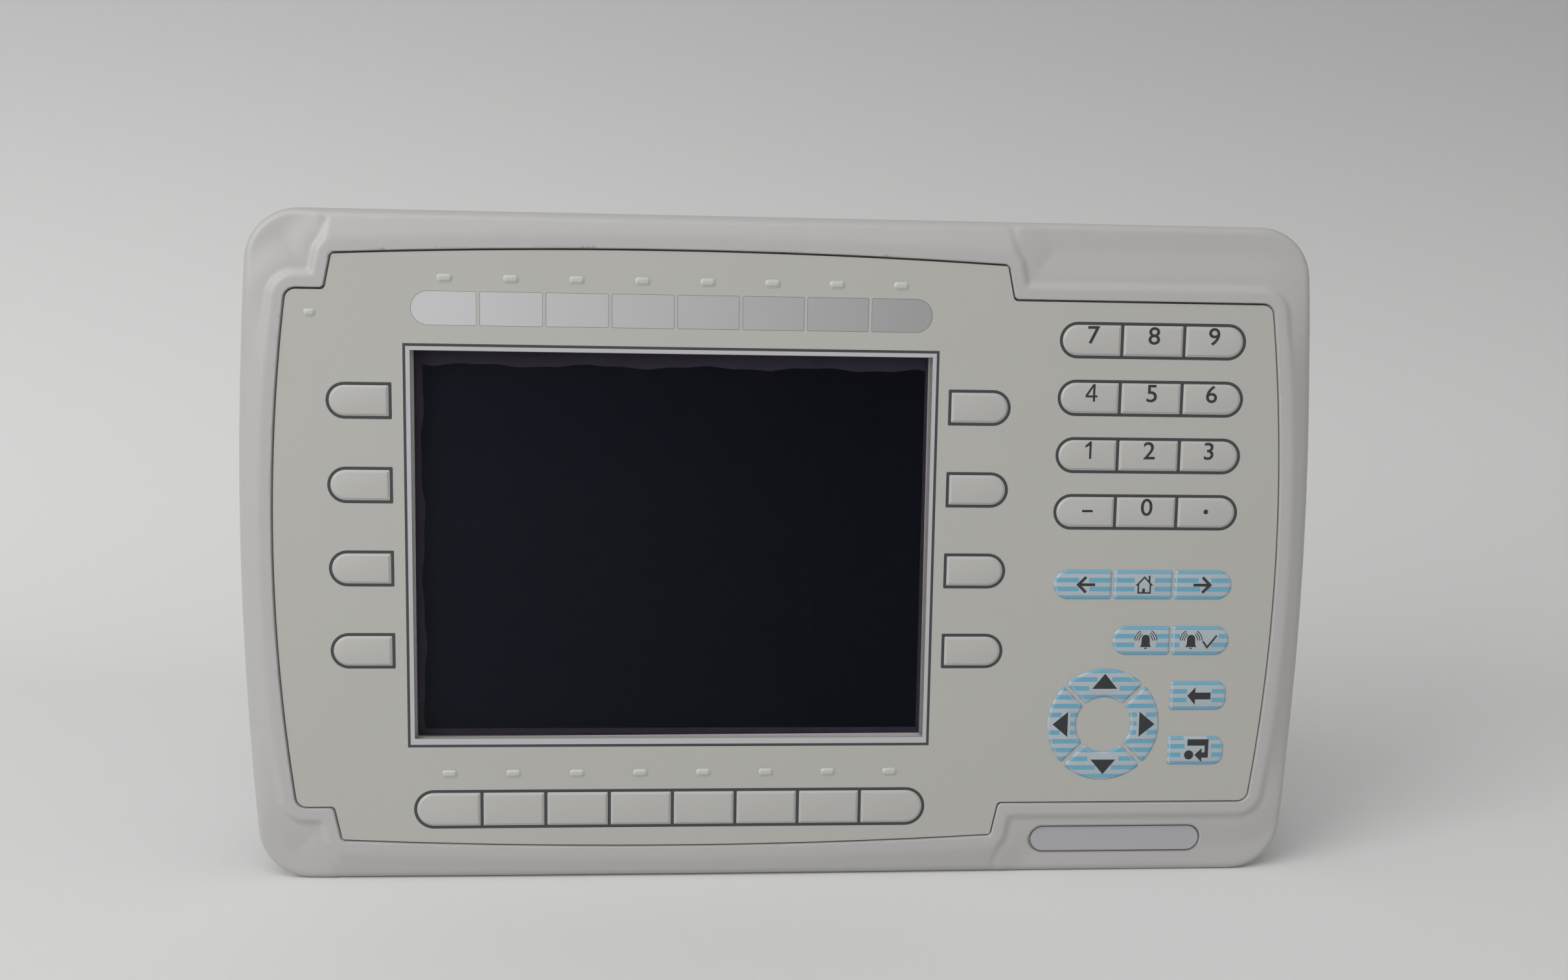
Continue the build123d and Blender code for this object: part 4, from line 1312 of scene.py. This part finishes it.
top = numeral_height
one = [(0, 0), (0.6, 0), (0.6, top), (0.15, top), (-1.1, top - 1.15), (-1.1, top - 1.7), (0, top - 1.1)]
drawn_numeral("digit_key_1", [one])
four = [(0.4, 0), (1.0, 0), (1.0, 1.1), (1.6, 1.1), (1.6, 1.65), (1.0, 1.65), (1.0, top), (0.4, top)]
four += [(-1.6, 1.7), (-1.6, 1.1), (0.4, 1.1)]
drawn_numeral("digit_key_4", [four, [(-0.95, 1.65), (0.4, 1.65), (0.4, top - 0.95)]])
minus_z = 12.5
sign("minus_sign", "minus_key", [box_outline(79.1, 82.0, minus_z - 0.32, minus_z + 0.32)])
sign("point_sign", "point_key", [arc((numeral_x[2], minus_z), 0.65, 0, 345, 20)])

# Display: a dark screen, made lighter at the left by a painted reflection, with a darker violet border behind the pane

screen_height = 0.7
printed("screen_face", [box_outline(*display)], "screen", slot="display_module", base=screen_height)


def wavy_border():
    """The inner edge of the screen's border, which runs a little unevenly."""
    x_low, x_high, z_low, z_high = display
    left, right, low, high = 2.1, 1.2, 1.5, 3.8
    points = [(x_low + left, z_low + low), (x_high - right, z_low + low), (x_high - right, z_high - high)]
    steps = 40
    for number in range(steps):
        x = x_high - high - (x_high - x_low - high - left) * number / steps
        points.append((x, z_high - high + 0.4 * math.sin(0.21 * x) + 0.2 * math.sin(0.57 * x + 1)))
    for number in range(steps):
        z = z_high - high - (z_high - z_low - high - low) * number / steps
        points.append((x_low + left + 0.4 * math.sin(0.19 * z) + 0.2 * math.sin(0.5 * z + 2), z))
    return points


border_outlines = [box_outline(*display), wavy_border()]
printed("screen_border", border_outlines, "screen_border", slot="display_module", base=screen_height + 0.05)

joined_relief(
    "name_plate",
    [
        relief(
            [
                (pill(0.2), plate_floor),
                (pill(0.2), plate_floor + plate_rise - 0.08),
                (pill(0.28), plate_floor + plate_rise),
            ]
        )
    ],
    "housing",
    "bezel",
    "plate",
)
plate_top = plate_floor + plate_rise
plate_print = plate_mesh("name_plate_line", [pill(0.3), pill(0.3 + plate_line)], plate_top, plate_top + 0.02)
piece_of("name_plate_line", plate_print, "housing", "bezel", "ink")

# Finishes of the construction that stays as it is

plain_nodes = {
    # The spacer's dark finish is painted shade, seen through the gaps round the keys.
    "key_spacer": "spacer",
    "snap_domes": "dome",
    "keypad_circuit": "circuit",
    "display_window": "window",
    "lcd_module": "display_module",
    "panel_seal": "seal",
    "main_board": "board",
    "board_standoffs": "standoff",
    "cover_screws": "screw",
    "power_header": "power_connector",
    "serial_port_25": "port_metal",
    "serial_port_9": "port_metal",
    "ethernet_jack": "port_metal",
    "usb_ports": "port_metal",
    "card_socket": "card_metal",
    "card_eject_button": "eject_button",
    "rear_cover": "rear_cover",
}
for node, finish_name in plain_nodes.items():
    dress(nodes[node], finish_name)

# Stage, lamps and camera

floor_z = cad_box[0].z
floor_colour = colour_of(222, 222, 221)
wall_colour = colour_of(179, 179, 179)


def cove():
    """A floor that turns up into a wall behind the panel."""
    half_width = 9.0
    front_y = -8.0
    wall_y = 0.55
    bend = 0.35
    wall_top = 4.0
    profile = [(front_y, 0.0)]
    profile += [(wall_y - bend + y, bend + z) for y, z in arc((0, 0), bend, -90, 0, 24)]
    profile += [(wall_y, wall_top)]
    points = []
    for x in (-half_width, half_width):
        points += [Vector((x, y, floor_z + z)) for y, z in profile]
    count = len(profile)
    faces = [(i, count + i, count + i + 1, i + 1) for i in range(count - 1)]
    return mesh_of("stage_cove", points, faces)


cove_mesh = cove()
cove_mesh.shade_smooth()
backdrop = bpy.data.objects.new("stage_cove", cove_mesh)
bpy.context.scene.collection.objects.link(backdrop)
stage_paint = finish("stage_paint", floor_colour, 0.8)
floor_level = floor_z / mm
backdrop.data.materials.append(faded(stage_paint, floor_colour, wall_colour, "Z", floor_level, floor_level + 400))


def soft_lamp(name, location, target, size, power, colour=(1.0, 1.0, 1.0)):
    lamp = bpy.data.lights.new(name, "AREA")
    lamp.shape = "RECTANGLE"
    lamp.size, lamp.size_y = size
    lamp.energy = power
    lamp.color = colour
    holder = bpy.data.objects.new(name, lamp)
    bpy.context.scene.collection.objects.link(holder)
    holder.location = location
    holder.rotation_mode = "QUATERNION"
    holder.rotation_quaternion = (Vector(target) - Vector(location)).to_track_quat("-Z", "Y")


soft_lamp("lamp_left", (-1.2, -1.0, 0.7), (0, 0, 0), (0.9, 0.9), 11.5)
soft_lamp("lamp_top", (-0.35, -0.75, 1.15), (0, 0, 0), (1.4, 0.6), 6)

world = bpy.data.worlds.new("studio")
bpy.context.scene.world = world
world.use_nodes = True
world.node_tree.nodes["Background"].inputs["Color"].default_value = (1.0, 1.0, 1.0, 1.0)
world.node_tree.nodes["Background"].inputs["Strength"].default_value = 0.51

camera = bpy.data.cameras.new("camera")
camera.lens = camera_lens
camera.sensor_width = 36.0
camera.clip_start = 0.01
camera_holder = bpy.data.objects.new("camera", camera)
bpy.context.scene.collection.objects.link(camera_holder)
camera_holder.location = [value * mm for value in camera_place]
camera_holder.rotation_euler = Euler([math.radians(value) for value in camera_turn], "XYZ")
bpy.context.scene.camera = camera_holder

bpy.context.scene.view_settings.view_transform = "Standard"
